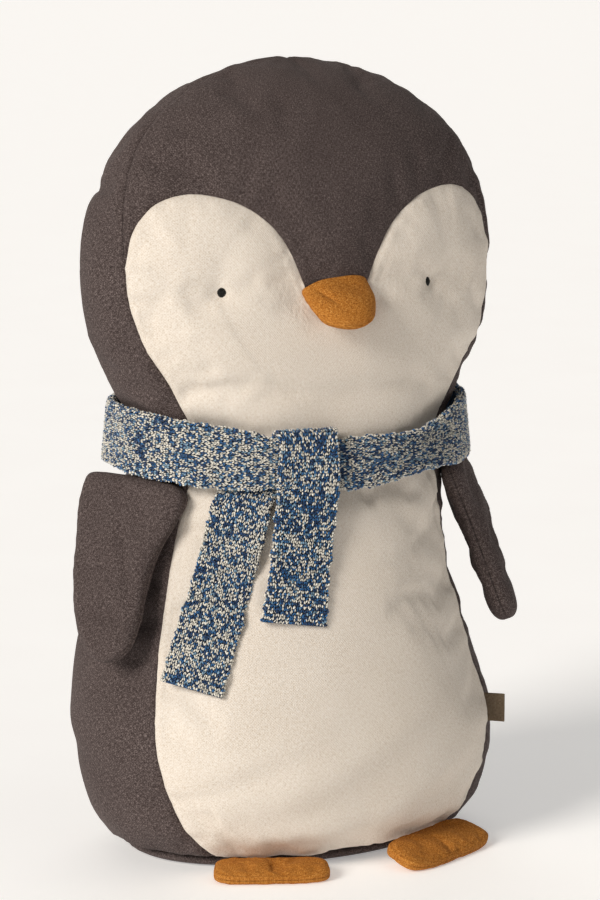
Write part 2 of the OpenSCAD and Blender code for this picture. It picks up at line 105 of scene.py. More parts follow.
def smooth_curve(table, x, column=1, flat_ends=True):
    """A smooth cubic through a table whose first column is x."""
    xs, ys = table[:, 0], table[:, column]
    slopes = np.zeros(len(xs))
    slopes[1:-1] = (ys[2:] - ys[:-2]) / (xs[2:] - xs[:-2])
    if not flat_ends:
        slopes[-1] = (ys[-1] - ys[-2]) / (xs[-1] - xs[-2])
    x = np.clip(np.asarray(x, float), xs[0], xs[-1])
    k = np.clip(np.searchsorted(xs, x, side="right") - 1, 0, len(xs) - 2)
    gap = xs[k + 1] - xs[k]
    u = (x - xs[k]) / gap
    return (
        ys[k] * (1 + 2 * u) * (1 - u) ** 2
        + slopes[k] * gap * u * (1 - u) ** 2
        + ys[k + 1] * u * u * (3 - 2 * u)
        - slopes[k + 1] * gap * u * u * (1 - u)
    )


def form(z, column):
    return smooth_curve(FORM, z, column)


def crown_point(sink=0):
    return [float(form(DOME_BASE, SWAY)), float(form(DOME_BASE, BACK)), BODY_HEIGHT - sink]


def round_directions(turns):
    """Level directions outward at angles from the front."""
    t = np.radians(turns)
    return np.stack([np.sin(t), -np.cos(t), 0 * t], -1)


def dome(z):
    share = np.clip((np.asarray(z, float) - DOME_BASE) / (BODY_HEIGHT - DOME_BASE), 0, 1)
    return share, np.sqrt(np.maximum(0, 1 - share**DOME_POWER))


def seam_angle(z):
    at_dome = FORM[-1, SEAM]
    return form(z, SEAM) + (90 - at_dome) * dome(z)[0] ** CROWN_SEAM_POWER


def ring_radius(turn, a, b):
    t = np.radians(turn)
    return (
        (np.abs(np.sin(t)) / a) ** SQUARENESS + (np.abs(np.cos(t)) / b) ** SQUARENESS
    ) ** (-1 / SQUARENESS)


def skin(turn, z, off=0.0):
    """Points of the body's surface at an angle from the front and a height, moved outward by off."""
    turn, z = np.broadcast_arrays(np.asarray(turn, float), np.asarray(z, float))
    share, shrink = dome(z)
    shrink = np.maximum(shrink, 1e-4)
    r = ring_radius(turn, shrink * (form(z, WIDE) + off), shrink * (form(z, DEEP) + off))
    t = np.radians(turn)
    high = np.maximum(z, 0) + share * off
    return np.stack([r * np.sin(t) + form(z, SWAY), form(z, BACK) - r * np.cos(t), high], -1)


def skin_normal(turn, z):
    """Outward directions of the surface, which point straight up at the crown."""
    turn, z = np.broadcast_arrays(np.asarray(turn, float), np.asarray(z, float))
    step = 0.4
    top = np.minimum(z + step, BODY_HEIGHT - 0.02)
    low = np.minimum(z, BODY_HEIGHT - 0.5) - step
    across = skin(turn + step, z) - skin(turn - step, z)
    along = skin(turn, top) - skin(turn, low)
    n = np.cross(across, along)
    size = np.linalg.norm(n, axis=-1, keepdims=True)
    crown = (z > BODY_HEIGHT - 0.3)[..., None]
    return np.where(crown | (size < 1e-9), np.array([0, 0, 1.0]), n / np.maximum(size, 1e-9))


def drifted(w):
    return w + FACE_DRIFT * (1 - w * w)


def face_height(w):
    return smooth_curve(FACE_LINE, np.abs(w), flat_ends=False)


def climb(z):
    """Length of cloth up to a height: the dome's cloth runs on over the head."""
    share = dome(z)[0]
    return np.minimum(z, DOME_BASE) + (BODY_HEIGHT - DOME_BASE) * np.arcsin(share)


# ---- small maths -------------------------------------------------------------------------


def wander(x, pitch, seed):
    """Smooth noise from -1 to 1 along a line, with one knot every pitch millimetres."""
    values = np.random.RandomState(seed).rand(2048) * 2 - 1
    x = np.asarray(x, float) / pitch + 500
    k = np.floor(x).astype(int) % 2047
    u = x - np.floor(x)
    u = u * u * (3 - 2 * u)
    return values[k] * (1 - u) + values[k + 1] * u


def lumps(points, wave, seed, count=7):
    """Soft three-dimensional unevenness from -1 to 1, about wave millimetres across."""
    rng = np.random.RandomState(seed)
    total = np.zeros(points.shape[:-1])
    for _ in range(count):
        direction = rng.normal(size=3)
        direction *= 2 * math.pi / (wave * rng.uniform(0.7, 1.4) * np.linalg.norm(direction))
        total += np.sin(points @ direction + rng.uniform(0, 2 * math.pi))
    return total / math.sqrt(count * 2)


def bump(x, middle, spread):
    return np.exp(-(((x - middle) / spread) ** 2))


def run_length(line):
    return np.concatenate([[0], np.cumsum(np.linalg.norm(np.diff(line, axis=0), axis=1))])


def unit(v):
    return v / np.maximum(np.linalg.norm(v, axis=-1, keepdims=True), 1e-9)


def turned(axis, degrees):
    return np.array(Matrix.Rotation(math.radians(degrees), 4, axis))


def shifted(x, y, z):
    return np.array(Matrix.Translation((x, y, z)))


def placed(matrix, points):
    return points @ matrix[:3, :3].T + matrix[:3, 3]


MIRROR_X = np.diag([-1.0, 1.0, 1.0, 1.0])

# ---- meshes ------------------------------------------------------------------------------


def grid_faces(rows, columns, start=0, wrap=False):
    """Quads of a grid, which face the reader when columns run right and rows run up."""
    last = columns if wrap else columns - 1
    i, j = np.meshgrid(np.arange(rows - 1), np.arange(last), indexing="ij")
    a = start + i * columns + j
    b = start + i * columns + (j + 1) % columns
    return np.stack([a, b, b + columns, a + columns], -1).reshape(-1, 4).tolist()


def fan_faces(ring, tip, turn_over=False, wrap=False):
    pairs = list(zip(ring, ring[1:] + ring[:1])) if wrap else list(zip(ring, ring[1:]))
    return [[b, a, tip] if turn_over else [a, b, tip] for a, b in pairs]


def facing_out(points, faces):
    """The faces of a closed form, turned over if they face inward."""
    points = np.asarray(points)
    inside = 0.0
    for size in {len(f) for f in faces}:
        group = np.array([f for f in faces if len(f) == size])
        first = points[group[:, 0]]
        for k in range(1, size - 1):
            inside += (first * np.cross(points[group[:, k]], points[group[:, k + 1]])).sum()
    return faces if inside > 0 else [f[::-1] for f in faces]


def mesh_piece(name, points, faces, material, cloth=None):
    """A smooth mesh object from points in millimetres. cloth is each point's place on the flat cloth."""
    mesh = bpy.data.meshes.new(name)
    mesh.from_pydata((np.asarray(points, float) * MM).tolist(), [], faces)
    mesh.polygons.foreach_set("use_smooth", [True] * len(mesh.polygons))
    if cloth is not None:
        corner = np.zeros(len(mesh.loops), int)
        mesh.loops.foreach_get("vertex_index", corner)
        layer = mesh.uv_layers.new(name="Cloth")
        layer.data.foreach_set("uv", (np.asarray(cloth, float) * MM)[corner].ravel())
    mesh.materials.append(material)
    mesh.update()
    piece = bpy.data.objects.new(name, mesh)
    bpy.context.scene.collection.objects.link(piece)
    return piece


def thicken(piece, millimetres):
    """Gives a sheet of cloth its thickness, towards the inside."""
    solid = piece.modifiers.new("Cloth thickness", "SOLIDIFY")
    solid.thickness = millimetres * MM
    solid.offset = -1


# ---- stuffing by cloth simulation ---------------------------------------------------------


class Swell:
    """How far each point of a stuffed form moved, read back at any point near it."""

    def __init__(self, points=None, moves=None):
        self.tree = None
        if points is None:
            return
        self.moves = moves
        self.tree = kdtree.KDTree(len(points))
        for k, p in enumerate(points):
            self.tree.insert(p, k)
        self.tree.balance()

    def at(self, points):
        if self.tree is None:
            return np.zeros(points.shape)
        flat = points.reshape(-1, 3)
        out = np.zeros(flat.shape)
        for k, p in enumerate(flat):
            near = self.tree.find_n(p, 5)
            shares = np.array([1 / (d + 0.8) ** 2 for _, _, d in near])
            out[k] = (self.moves[[i for _, i, _ in near]] * shares[:, None]).sum(0) / shares.sum()
        return out.reshape(points.shape)


SETTLING_FRAMES = 20


def stuffed(points, faces, hold, voxel, pressure, cap, slack):
    """Fills a closed form and lets its cloth settle. hold(points) is 1 where stitching keeps the cloth."""
    scene = bpy.context.scene
    form_piece = mesh_piece("stuffing_form", points, faces, bpy.data.materials[0])
    remesh = form_piece.modifiers.new("Even mesh", "REMESH")
    remesh.mode = "VOXEL"
    remesh.voxel_size = voxel * MM
    graph = bpy.context.evaluated_depsgraph_get()
    even = bpy.data.meshes.new_from_object(form_piece.evaluated_get(graph))
    form_piece.modifiers.clear()
    form_piece.data = even
    rest = np.zeros(len(even.vertices) * 3)
    even.vertices.foreach_get("co", rest)
    rest = rest.reshape(-1, 3)
    weights = hold(rest / MM)
    group = form_piece.vertex_groups.new(name="hold")
    for k, weight in enumerate(weights):
        group.add([k], float(weight), "REPLACE")
    cloth = form_piece.modifiers.new("Cloth", "CLOTH")
    settings = cloth.settings
    settings.quality = 6
    settings.mass = 0.25
    settings.tension_stiffness = settings.compression_stiffness = 25
    settings.shear_stiffness = 12
    settings.bending_stiffness = 0.4
    settings.vertex_group_mass = "hold"
    settings.vertex_group_shrink = "hold"
    settings.shrink_min = -slack
    settings.shrink_max = 0
    settings.use_pressure = True
    settings.uniform_pressure_force = pressure
    settings.effector_weights.gravity = 0
    cloth.collision_settings.use_collision = False
    cloth.point_cache.frame_end = SETTLING_FRAMES
    for step in range(1, SETTLING_FRAMES + 1):
        scene.frame_set(step)
    graph = bpy.context.evaluated_depsgraph_get()
    settled = form_piece.evaluated_get(graph).to_mesh()
    moved = np.zeros(len(settled.vertices) * 3)
    settled.vertices.foreach_get("co", moved)
    moves = (moved.reshape(-1, 3) - rest) / MM
    far = np.linalg.norm(moves, axis=1, keepdims=True)
    moves *= np.minimum(1, cap / np.maximum(far, 1e-6))
    bpy.data.objects.remove(form_piece)
    scene.frame_set(1)
    return Swell(rest / MM, moves)


# ---- materials -----------------------------------------------------------------------------


def linear(hex_code):
    """A linear colour, with alpha, from an sRGB hex value."""
    parts = [int(hex_code.lstrip("#")[k : k + 2], 16) / 255 for k in (0, 2, 4)]
    return [p / 12.92 if p <= 0.04045 else ((p + 0.055) / 1.055) ** 2.4 for p in parts] + [1.0]


def add_node(tree, kind, values=None, links=None, **settings):
    """Adds one shader node with its socket values, the sockets linked to it and its own settings."""
    made = tree.nodes.new(kind)
    for name, value in settings.items():
        setattr(made, name, value)
    for socket, value in (values or {}).items():
        made.inputs[socket].default_value = value
    for socket, source in (links or {}).items():
        tree.links.new(source, made.inputs[socket])
    return made


def combine(tree, operation, *parts):
    """A maths node whose parts are numbers or sockets."""
    numbers = {k: part for k, part in enumerate(parts) if isinstance(part, (int, float))}
    sockets = {k: part for k, part in enumerate(parts) if k not in numbers}
    return add_node(tree, "ShaderNodeMath", numbers, sockets, operation=operation).outputs[0]


def new_material(name):
    material = bpy.data.materials.new(name)
    material.use_nodes = True
    material.node_tree.nodes.clear()
    return material, material.node_tree


def finish_material(tree, shader):
    add_node(tree, "ShaderNodeOutputMaterial", links={"Surface": shader.outputs["BSDF"]})


def ramp(tree, source, stops):
    """A colour ramp whose stops are (place, hex)."""
    made = add_node(tree, "ShaderNodeValToRGB", links={"Fac": source})
    band = made.color_ramp
    while len(band.elements) < len(stops):
        band.elements.new(0.5)
    for element, (place, hex_code) in zip(band.elements, stops):
        element.position = place
        element.color = linear(hex_code)
    return made.outputs["Color"]


def linen(name, tones, thread, contrast, bump_height, sheen, flecks=0.1, clouds=0.1, rough=0.92):
    """Plain-woven linen: matt slubby threads in two directions with a soft fibre sheen.

    tones are (dark thread, cloth, light thread) hex values and thread is the thread spacing in millimetres.
    flecks is the strength of loose light fibres and clouds that of the uneven dye.
    """
    material, tree = new_material(name)
    place = add_node(tree, "ShaderNodeUVMap", uv_map="Cloth").outputs["UV"]
    wave = 0.314 / (thread * 2 * MM)
    waves, streaks = [], []
    for direction, stretch in (("X", (1, 0.3, 1)), ("Y", (0.3, 1, 1))):
        waves.append(
            add_node(
                tree, "ShaderNodeTexWave",
                {"Scale": wave, "Distortion": 0.6, "Detail": 1.5, "Detail Scale": 1.2},
                {"Vector": place}, wave_type="BANDS", bands_direction=direction,
            ).outputs["Fac"]
        )
        long_way = add_node(
            tree, "ShaderNodeMapping", {"Scale": stretch}, {"Vector": place}
        ).outputs["Vector"]
        streaks.append(
            add_node(
                tree, "ShaderNodeTexNoise",
                {"Scale": 1 / (thread * 0.75 * MM), "Detail": 2.0, "Roughness": 0.6},
                {"Vector": long_way}, noise_dimensions="2D",
            ).outputs["Fac"]
        )
    weave = combine(tree, "MULTIPLY", *(combine(tree, "MULTIPLY_ADD", w, 2.0, -1.0) for w in waves))
    slub = combine(tree, "ADD", *streaks)
    cloud = add_node(
        tree, "ShaderNodeTexNoise", {"Scale": 24.0, "Detail": 4.0, "Roughness": 0.65},
        {"Vector": place}, noise_dimensions="2D",
    ).outputs["Fac"]
    # Loose fibres, a little finer than the spacing of the threads
    loose = add_node(
        tree, "ShaderNodeTexNoise", {"Scale": 1 / (thread * 0.7 * MM), "Detail": 1.0, "Distortion": 1.5},
        {"Vector": place}, noise_dimensions="2D",
    ).outputs["Fac"]
    fibre = add_node(
        tree, "ShaderNodeMapRange", {"From Min": 0.56, "From Max": 0.74, "To Min": 0.0, "To Max": flecks},
        {"Value": loose},
    ).outputs["Result"]
    # Slubs, the weave's own light and shade, and slow dye clouds, added up into one tone
    tone = combine(tree, "MULTIPLY_ADD", slub, contrast, 0.5 - contrast)
    tone = combine(tree, "MULTIPLY_ADD", weave, 0.07, tone)
    cloudy = combine(tree, "MULTIPLY_ADD", cloud, 2 * clouds, -clouds)
    tone = combine(tree, "ADD", combine(tree, "ADD", tone, cloudy), fibre)
    colour = ramp(tree, tone, [(0.2, tones[0]), (0.5, tones[1]), (0.85, tones[2])])
    height = combine(tree, "MULTIPLY_ADD", weave, 0.35, slub)
    relief = add_node(
        tree, "ShaderNodeBump", {"Strength": 0.55, "Distance": bump_height * MM}, {"Height": height}
    ).outputs["Normal"]
    shader = add_node(
        tree, "ShaderNodeBsdfPrincipled",
        {"Roughness": rough, "IOR": 1.5, "Sheen Weight": sheen, "Sheen Roughness": 0.55,
         "Sheen Tint": linear(tones[2]), "Specular IOR Level": 0.25},
        {"Base Color": colour, "Normal": relief},
    )
    finish_material(tree, shader)
    return material


def wool_yarn(name):
    """Soft spun yarn, matt with a fibre halo. Each stitch leg carries its own dye colour."""
    material, tree = new_material(name)
    dye = add_node(
        tree, "ShaderNodeAttribute", attribute_name="dye", attribute_type="GEOMETRY"
    ).outputs["Color"]
    place = add_node(tree, "ShaderNodeTexCoord").outputs["Object"]
    # Fibres are about 0.4 mm bundles
    fibre = add_node(
        tree, "ShaderNodeTexNoise", {"Scale": 1400.0, "Detail": 2.0}, {"Vector": place}
    ).outputs["Fac"]
    # The colour is lighter where the fibres stand up and darker between the bundles: partly the fibres' own
    # tone, partly painted shade
    shade = add_node(
        tree, "ShaderNodeMapRange",
        {"From Min": 0.3, "From Max": 0.7, "To Min": 0.78, "To Max": 1.15}, {"Value": fibre},
    ).outputs["Result"]
    colour = add_node(
        tree, "ShaderNodeVectorMath", links={0: dye, "Scale": shade}, operation="SCALE"
    ).outputs["Vector"]
    relief = add_node(
        tree, "ShaderNodeBump", {"Strength": 0.5, "Distance": 0.25 * MM}, {"Height": fibre}
    ).outputs["Normal"]
    shader = add_node(
        tree, "ShaderNodeBsdfPrincipled",
        {"Roughness": 0.9, "IOR": 1.54, "Sheen Weight": 0.35, "Sheen Roughness": 0.5,
         "Specular IOR Level": 0.2},
        {"Base Color": colour, "Normal": relief},
    )
    finish_material(tree, shader)
    return material


def plain_yarn(name, hex_code, light_code, rough, spacing):
    """Spun or stranded thread of one dye, with fine twist lines every spacing millimetres. The lines are
    painted shade: darker in the twist's grooves, lighter on its ridges.
    """
    material, tree = new_material(name)
    place = add_node(tree, "ShaderNodeTexCoord").outputs["Object"]
    twist = add_node(
        tree, "ShaderNodeTexWave", {"Scale": 0.314 / (spacing * MM), "Distortion": 2.0, "Detail": 2.0},
        {"Vector": place}, wave_type="BANDS", bands_direction="DIAGONAL",
    ).outputs["Fac"]
    # Painted shade: the colour goes dark in the twist's grooves and light on its ridges, following the bump
    colour = ramp(tree, twist, [(0.1, hex_code), (0.9, light_code)])
    relief = add_node(
        tree, "ShaderNodeBump", {"Strength": 0.5, "Distance": 0.15 * MM}, {"Height": twist}
    ).outputs["Normal"]
    shader = add_node(
        tree, "ShaderNodeBsdfPrincipled",
        {"Roughness": rough, "IOR": 1.53, "Specular IOR Level": 0.3},
        {"Base Color": colour, "Normal": relief},
    )
    finish_material(tree, shader)
    return material


def studio_floor(name, hex_code):
    """Matt painted board: almost even, with a very slight mottle."""
    material, tree = new_material(name)
    place = add_node(tree, "ShaderNodeTexCoord").outputs["Object"]
    mottle = add_node(
        tree, "ShaderNodeTexNoise", {"Scale": 9.0, "Detail": 2.0}, {"Vector": place}
    ).outputs["Fac"]
    colour = ramp(tree, mottle, [(0.2, hex_code), (0.8, "#fbfaf8")])
    # The board is lit a little from behind, as a light table is, so it stays near white
    shader = add_node(
        tree, "ShaderNodeBsdfPrincipled",
        {"Roughness": 0.85, "IOR": 1.5, "Emission Color": linear("#ffffff"), "Emission Strength": 0.28},
        {"Base Color": colour},
    )
    finish_material(tree, shader)
    return material


def shared_material(name):
    """The one material of that name, made when it is first asked for."""
    if name in bpy.data.materials:
        return bpy.data.materials[name]
    look = bpy.context.scene.penguin_cloth
    if name == "charcoal_washed_linen":
        return linen(name, ("#2a2221", look.charcoal, "#847774"), 0.9, 0.62, 0.3, look.sheen, 0.2, 0.05)
    if name == "undyed_washed_linen":
        return linen(name, ("#c9b9a4", look.natural, "#f9f4ec"), 0.9, 0.5, 0.3, 0.06, 0.06, 0.07)
    if name == "ochre_washed_linen":
        return linen(name, ("#743f0c", look.mustard, "#d99c50"), 0.9, 0.75, 0.4, 0.06, 0.14, 0.12)
    if name == "marled_wool":
        return wool_yarn(name)
    # The dark strip under the scarf's stitches stands for the shade in the gaps between them: painted shade
    if name == "knit_ground":
        return plain_yarn(name, "#0e1c30", "#2f5076", 0.95, 1.6)
    if name == "black_stranded_cotton":
        return plain_yarn(name, "#030303", "#0d0c0c", 0.6, 0.5)
    if name == "dark_sewing_thread":
        return plain_yarn(name, "#1e1817", "#443a38", 0.7, 0.4)
    if name == "woven_tape":
        return linen(name, ("#4a3f33", "#6b5c4b", "#8d7e6b"), 0.7, 0.5, 0.2, 0.08)
    raise ValueError("no finish is named " + name)


# ---- body ------------------------------------------------------------------------------------


class SeamLines:
    """The body's seams as closely spaced points, with running length and strength of pucker."""

    def __init__(self):
        over_dome = 1 - np.sin(np.linspace(0, math.pi / 2, 180))
        z = np.concatenate([
            np.arange(CLOTH_BOTTOM, DOME_BASE, 1.0), BODY_HEIGHT - (BODY_HEIGHT - DOME_BASE) * over_dome,
        ])
        w = np.linspace(-1, 1, 1201)
        around = np.linspace(-180, 180, 801)
        side_pull = np.where(z > DOME_BASE + 3, DOME_PULL, SIDE_PULL)
        lines = [
            (skin(seam_angle(z), z), side_pull),
            (skin(-seam_angle(z), z), side_pull),
            (skin(drifted(w) * seam_angle(face_height(w)), face_height(w)), np.full(len(w), FACE_PULL)),
            (skin(np.full(len(z), 180.0), z), np.full(len(z), BACK_PULL)),
            (skin(around, np.full(len(around), CLOTH_BOTTOM)), np.full(len(around), BASE_PULL)),
        ]
        self.points = np.concatenate([line for line, _ in lines])
        self.run = np.concatenate([run_length(line) + 900 * k for k, (line, _) in enumerate(lines)])
        self.strength = np.concatenate([strength for _, strength in lines])
        self.ends = np.concatenate([np.r_[np.zeros(len(line) - 1, bool), True] for line, _ in lines])
        self.tree = kdtree.KDTree(len(self.points))
        for k, p in enumerate(self.points):
            self.tree.insert(p, k)
        self.tree.balance()

    def near(self, points):
        """Distance to the nearest seam, the running length there and its strength."""
        flat = points.reshape(-1, 3)
        k = np.array([self.tree.find(p)[1] for p in flat])
        best = np.full(len(flat), 1e9)
        run = self.run[k].copy()
        for start in (k - 1, k):
            start = np.clip(start, 0, len(self.points) - 2)
            a, b = self.points[start], self.points[start + 1]
            ab = b - a
            u = np.clip(((flat - a) * ab).sum(1) / np.maximum((ab * ab).sum(1), 1e-9), 0, 1)
            u = np.where(self.ends[start], 0, u)
            d = np.linalg.norm(flat - a - ab * u[:, None], axis=1)
            closer = d < best
            best = np.where(closer, d, best)
            run = np.where(closer, self.run[start] + u * np.linalg.norm(ab, axis=1), run)
        shape = points.shape[:-1]
        return best.reshape(shape), run.reshape(shape), self.strength[k].reshape(shape)


def eye_turn(side):
    return side * EYE_SPREAD + EYE_MIDDLE


def eye_dimple(points, depth):
    """The pull of the eye threads: a tight pit in a wide soft hollow, with folds running out of it."""
    total = np.zeros(points.shape[:-1])
    for side, lean in ((-1, 140), (1, 40)):
        middle = skin(eye_turn(side), EYE_HEIGHT)
        away = points - middle
        far = np.linalg.norm(away, axis=-1)
        heading = math.radians(eye_turn(side))
        across = away @ np.array([math.cos(heading), math.sin(heading), 0])
        spoke = np.arctan2(away[..., 2], across)
        total -= depth * (0.62 * np.exp(-((far / 6) ** 2)) + 0.38 * np.exp(-((far / 20) ** 2)))
        fold = np.cos(spoke - math.radians(lean)) ** 9
        fold = np.maximum(fold, 0) + 0.35 * np.cos(5 * spoke + side)
        total -= 0.30 * depth * fold * (far / 10) * np.exp(-far / 12)
    return total


# Soft folds of the stuffed cloth. Each row: angle, height, half length, lean, half width, depth
FOLDS = [
    (-38, 70, 42, 24, 8, 1.5), (-14, 48, 60, 14, 11, 1.7), (12, 78, 55, 22, 10, 1.3),
    (30, 44, 48, 28, 9, 1.6), (-6, 24, 62, 5, 7, 1.4), (-50, 168, 26, 6, 5, 1.5),
    (-52, 136, 30, 3, 5, 1.4), (-49, 205, 24, 9, 5, 1.3), (-47, 238, 24, 4, 5, 1.3),
    (46, 190, 30, -16, 8, 1.3), (38, 228, 34, -24, 8, 1.4), (-24, 246, 30, 32, 7, 1.2),
    (8, 250, 36, -8, 9, 1.1), (-60, 330, 22, 4, 5, 1.3), (-56, 362, 20, -6, 5, 1.2),
    (0, 322, 50, 4, 9, 1.2), (150, 120, 60, 18, 12, 1.6), (-150, 90, 55, -20, 12, 1.6),
    (168, 232, 46, 30, 9, 1.5), (-164, 205, 44, -26, 9, 1.5), (118, 250, 40, 34, 9, 1.4),
    (-112, 236, 44, -30, 9, 1.4), (176, 305, 52, 6, 10, 1.3), (104, 60, 50, 12, 10, 1.4),
    (-100, 72, 52, -10, 10, 1.4), (140, 340, 40, -14, 9, 1.1), (-138, 345, 42, 12, 9, 1.1),
]


def soft_folds(points):
    """Shallow valleys with a swelling beside each, as stuffed linen takes them."""
    around = np.degrees(np.arctan2(points[..., 0], -points[..., 1]))
    total = np.zeros(points.shape[:-1])
    for angle, height, reach, lean, wide, depth in FOLDS:
        u = ((around - angle + 180) % 360 - 180) * 2.0
        v = points[..., 2] - height
        c, s = math.cos(math.radians(lean)), math.sin(math.radians(lean))
        along, across = u * c + v * s, v * c - u * s
        swelling = 0.7 * bump(across, 1.7 * wide, wide)
        total += depth * bump(along, 0, reach) * (swelling - bump(across, 0, wide))
    return total


def body_relief(points, seams, look):
    """How far cloth stands out from the plain form: stitched seams, puckers, dimples and soft lumps."""
    far, run, strength = seams.near(points)
    groove = -look.seam_depth / MM * np.exp(-far / 1.5) * np.minimum(strength + 0.2, 1)
    ridge = 0.5 * bump(far, 4.5, 2.5)
    grip = (1 - np.exp(-far / 2.5)) * strength * look.pucker_depth / MM
    lively = 0.65 + 0.35 * wander(run, 70, 11)
    fine = -np.maximum(0, wander(run, 7, 3) + 0.1) ** 1.3 * np.exp(-far / 9)
    middle = -np.maximum(0, wander(run + far * 0.15, 12, 5)) * 1.8 * np.exp(-far / 20)
    slow = wander(run, 34, 7) * 0.9 * np.exp(-far / 42)
    creases = grip * lively * (fine + middle + slow)
    soft = look.lumpiness / MM * (lumps(points, 150, 21) + 0.45 * lumps(points, 62, 22))
    soft = soft * (1 - np.exp(-far / 22))
    low = np.clip((points[..., 2] - CLOTH_BOTTOM) / 14, 0, 1)
    soft = soft + soft_folds(points) * (1 - np.exp(-far / 10))
    return (groove + ridge + creases) + soft * low + eye_dimple(points, look.eye_pull / MM)


def body_swell(seams, look):
    """Stuffs the whole body once, so that neighbouring panels move together."""
    around, up, up_to_dome = 120, 96, 66
    turns = np.linspace(-180, 180, around, endpoint=False)
    over_dome = np.sin(np.linspace(0.05, 1.55, up - up_to_dome))
    z = np.concatenate([
        np.linspace(1, DOME_BASE, up_to_dome), DOME_BASE + (BODY_HEIGHT - DOME_BASE) * over_dome,
    ])
    rings = skin(turns[None, :], z[:, None], -look.swell / MM * 0.6)
    points = np.concatenate([rings.reshape(-1, 3), [[0, 0, 1], crown_point(1)]])
    low = list(range(around))
    high = list(range((up - 1) * around, up * around))
    faces = grid_faces(up, around, wrap=True) + fan_faces(low, up * around, True, True)
    faces += fan_faces(high, up * around + 1, False, True)

    def hold(p):
        far = seams.near(p)[0]
        eyes = np.min([np.linalg.norm(p - skin(eye_turn(s), EYE_HEIGHT), axis=1) for s in (-1, 1)], axis=0)
        return np.clip(np.maximum.reduce([1.2 - far / 5, 1.2 - eyes / 7, (p[:, 2] < 10) * 1.0]), 0, 1)

    return stuffed(points, faces, hold, 5.5, look.pressure, look.swell / MM, look.cloth_slack)


def dressed(turn, z, seams, swell, look):
    """Points of the finished cloth and their outward directions."""
    plain = skin(turn, z)
    out = skin_normal(turn, z)
    return plain + swell.at(plain) + out * body_relief(plain, seams, look)[..., None], out


def tucked(points, out, cloth, sides, depth=5.0):
    """Adds the seam allowance: the named edges of a grid turn in behind the seam."""
    before = [1 if "low" in sides else 0, 1 if "high" in sides else 0]
    beside = [1 if "left" in sides else 0, 1 if "right" in sides else 0]
    pads = (before, beside, (0, 0))
    points, out, cloth = (np.pad(g, pads, mode="edge") for g in (points, out, cloth))
    edge = np.zeros(points.shape[:2], bool)
    for line, turned_in in ((edge[0], before[0]), (edge[-1], before[1]),
                            (edge[:, 0], beside[0]), (edge[:, -1], beside[1])):
        if turned_in:
            line[:] = True
    points[edge] -= out[edge] * depth
    return points, cloth


def panel(name, points, cloth, tip, material):
    """A cloth panel from its grid. With a tip, all its columns run up to one point."""
    rows, columns = points.shape[:2]
    flat = points.reshape(-1, 3)
    flat_cloth = cloth.reshape(-1, 2)
    faces = grid_faces(rows, columns)
    if tip is not None:
        top = list(range((rows - 1) * columns, rows * columns))
        faces += fan_faces(top, rows * columns)
        flat = np.concatenate([flat, [tip]])
        flat_cloth = np.concatenate([flat_cloth, [flat_cloth[-columns // 2]]])
    piece = mesh_piece(name, flat, faces, material, flat_cloth)
    thicken(piece, CLOTH_THICK)
    return piece


def near_edges(count, first):
    """Shares from 0 to 1 that crowd together at both ends."""
    even = np.linspace(0, 1, count)[1:-1]
    ends = np.array([0, first, first * 2.4])
    return np.unique(np.concatenate([ends, even[(even > first * 3) & (even < 1 - first * 3)], 1 - ends]))


def cloth_place(turn, z):
    turn, z = np.broadcast_arrays(turn, z)
    return np.stack([np.radians(turn) * 120, climb(z)], -1)


def build_body(look):
    seams = SeamLines()
    swell = body_swell(seams, look)
    fine = np.linspace(-1, 1, 4001)
    line = skin(drifted(fine) * seam_angle(face_height(fine)), face_height(fine))
    run = run_length(line)
    w = np.interp(np.linspace(0, run[-1], int(run[-1] / look.mesh_step * MM) + 1), run, fine)
    w[0], w[-1] = -1, 1
    rise = near_edges(190, 0.0018)[:, None]
    crown = np.array(crown_point())

    z = CLOTH_BOTTOM + (face_height(w)[None, :] - CLOTH_BOTTOM) * rise
    turn = drifted(w)[None, :] * seam_angle(z)
    points, out = dressed(turn, z, seams, swell, look)
    front = panel(
        "front_panel", *tucked(points, out, cloth_place(turn, z), ("low", "high", "left", "right")),
        None, shared_material("undyed_washed_linen"),
    )

    top = np.sin(np.radians(90 * np.r_[0, 0.006, 0.015, np.linspace(0.03, 0.985, 84)]))[:, None]
    cap_z = face_height(w)[None, :] + (BODY_HEIGHT - face_height(w)[None, :]) * top
    turn = drifted(w)[None, :] * seam_angle(cap_z)
    points, out = dressed(turn, cap_z, seams, swell, look)
    cap = panel(
        "head_cap", *tucked(points, out, cloth_place(turn, cap_z), ("low", "left", "right")),
        crown, shared_material("charcoal_washed_linen"),
    )

    side_z = np.concatenate([z[:, -1], cap_z[1:, -1]])[:, None]
    share = near_edges(78, 0.006)[None, :]
    backs = []
    for side, name in ((1, "back_panel_left"), (-1, "back_panel_right")):
        first = seam_angle(side_z)
        turn = first + (180 - first) * share
        turn = turn if side > 0 else -turn[:, ::-1]
        points, out = dressed(turn, side_z, seams, swell, look)
        backs.append(panel(
            name, *tucked(points, out, cloth_place(turn, side_z), ("low", "left", "right")),
            crown, shared_material("charcoal_washed_linen"),
        ))
    fills = (("front_panel", "body_stuffing"), ("head_cap",), ("back_panel_left",), ("back_panel_right",))
    for piece, nodes in zip([front, cap, *backs], fills):
        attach(piece, "body")
        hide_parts(*nodes)


BASE_HALF_WIDTH, BASE_HALF_DEPTH = 122, 86
# The base's profile. Each row: inset from the widest oval, height
BASE_PROFILE = [
    (10, 8.0), (7.5, 7.6), (5.9, 6.4), (5.3, 5.0), (5.6, 3.6), (6.6, 2.2), (8.6, 1.0), (12, 0.3), (18, 0),
    (36, 0), (60, 0),
]


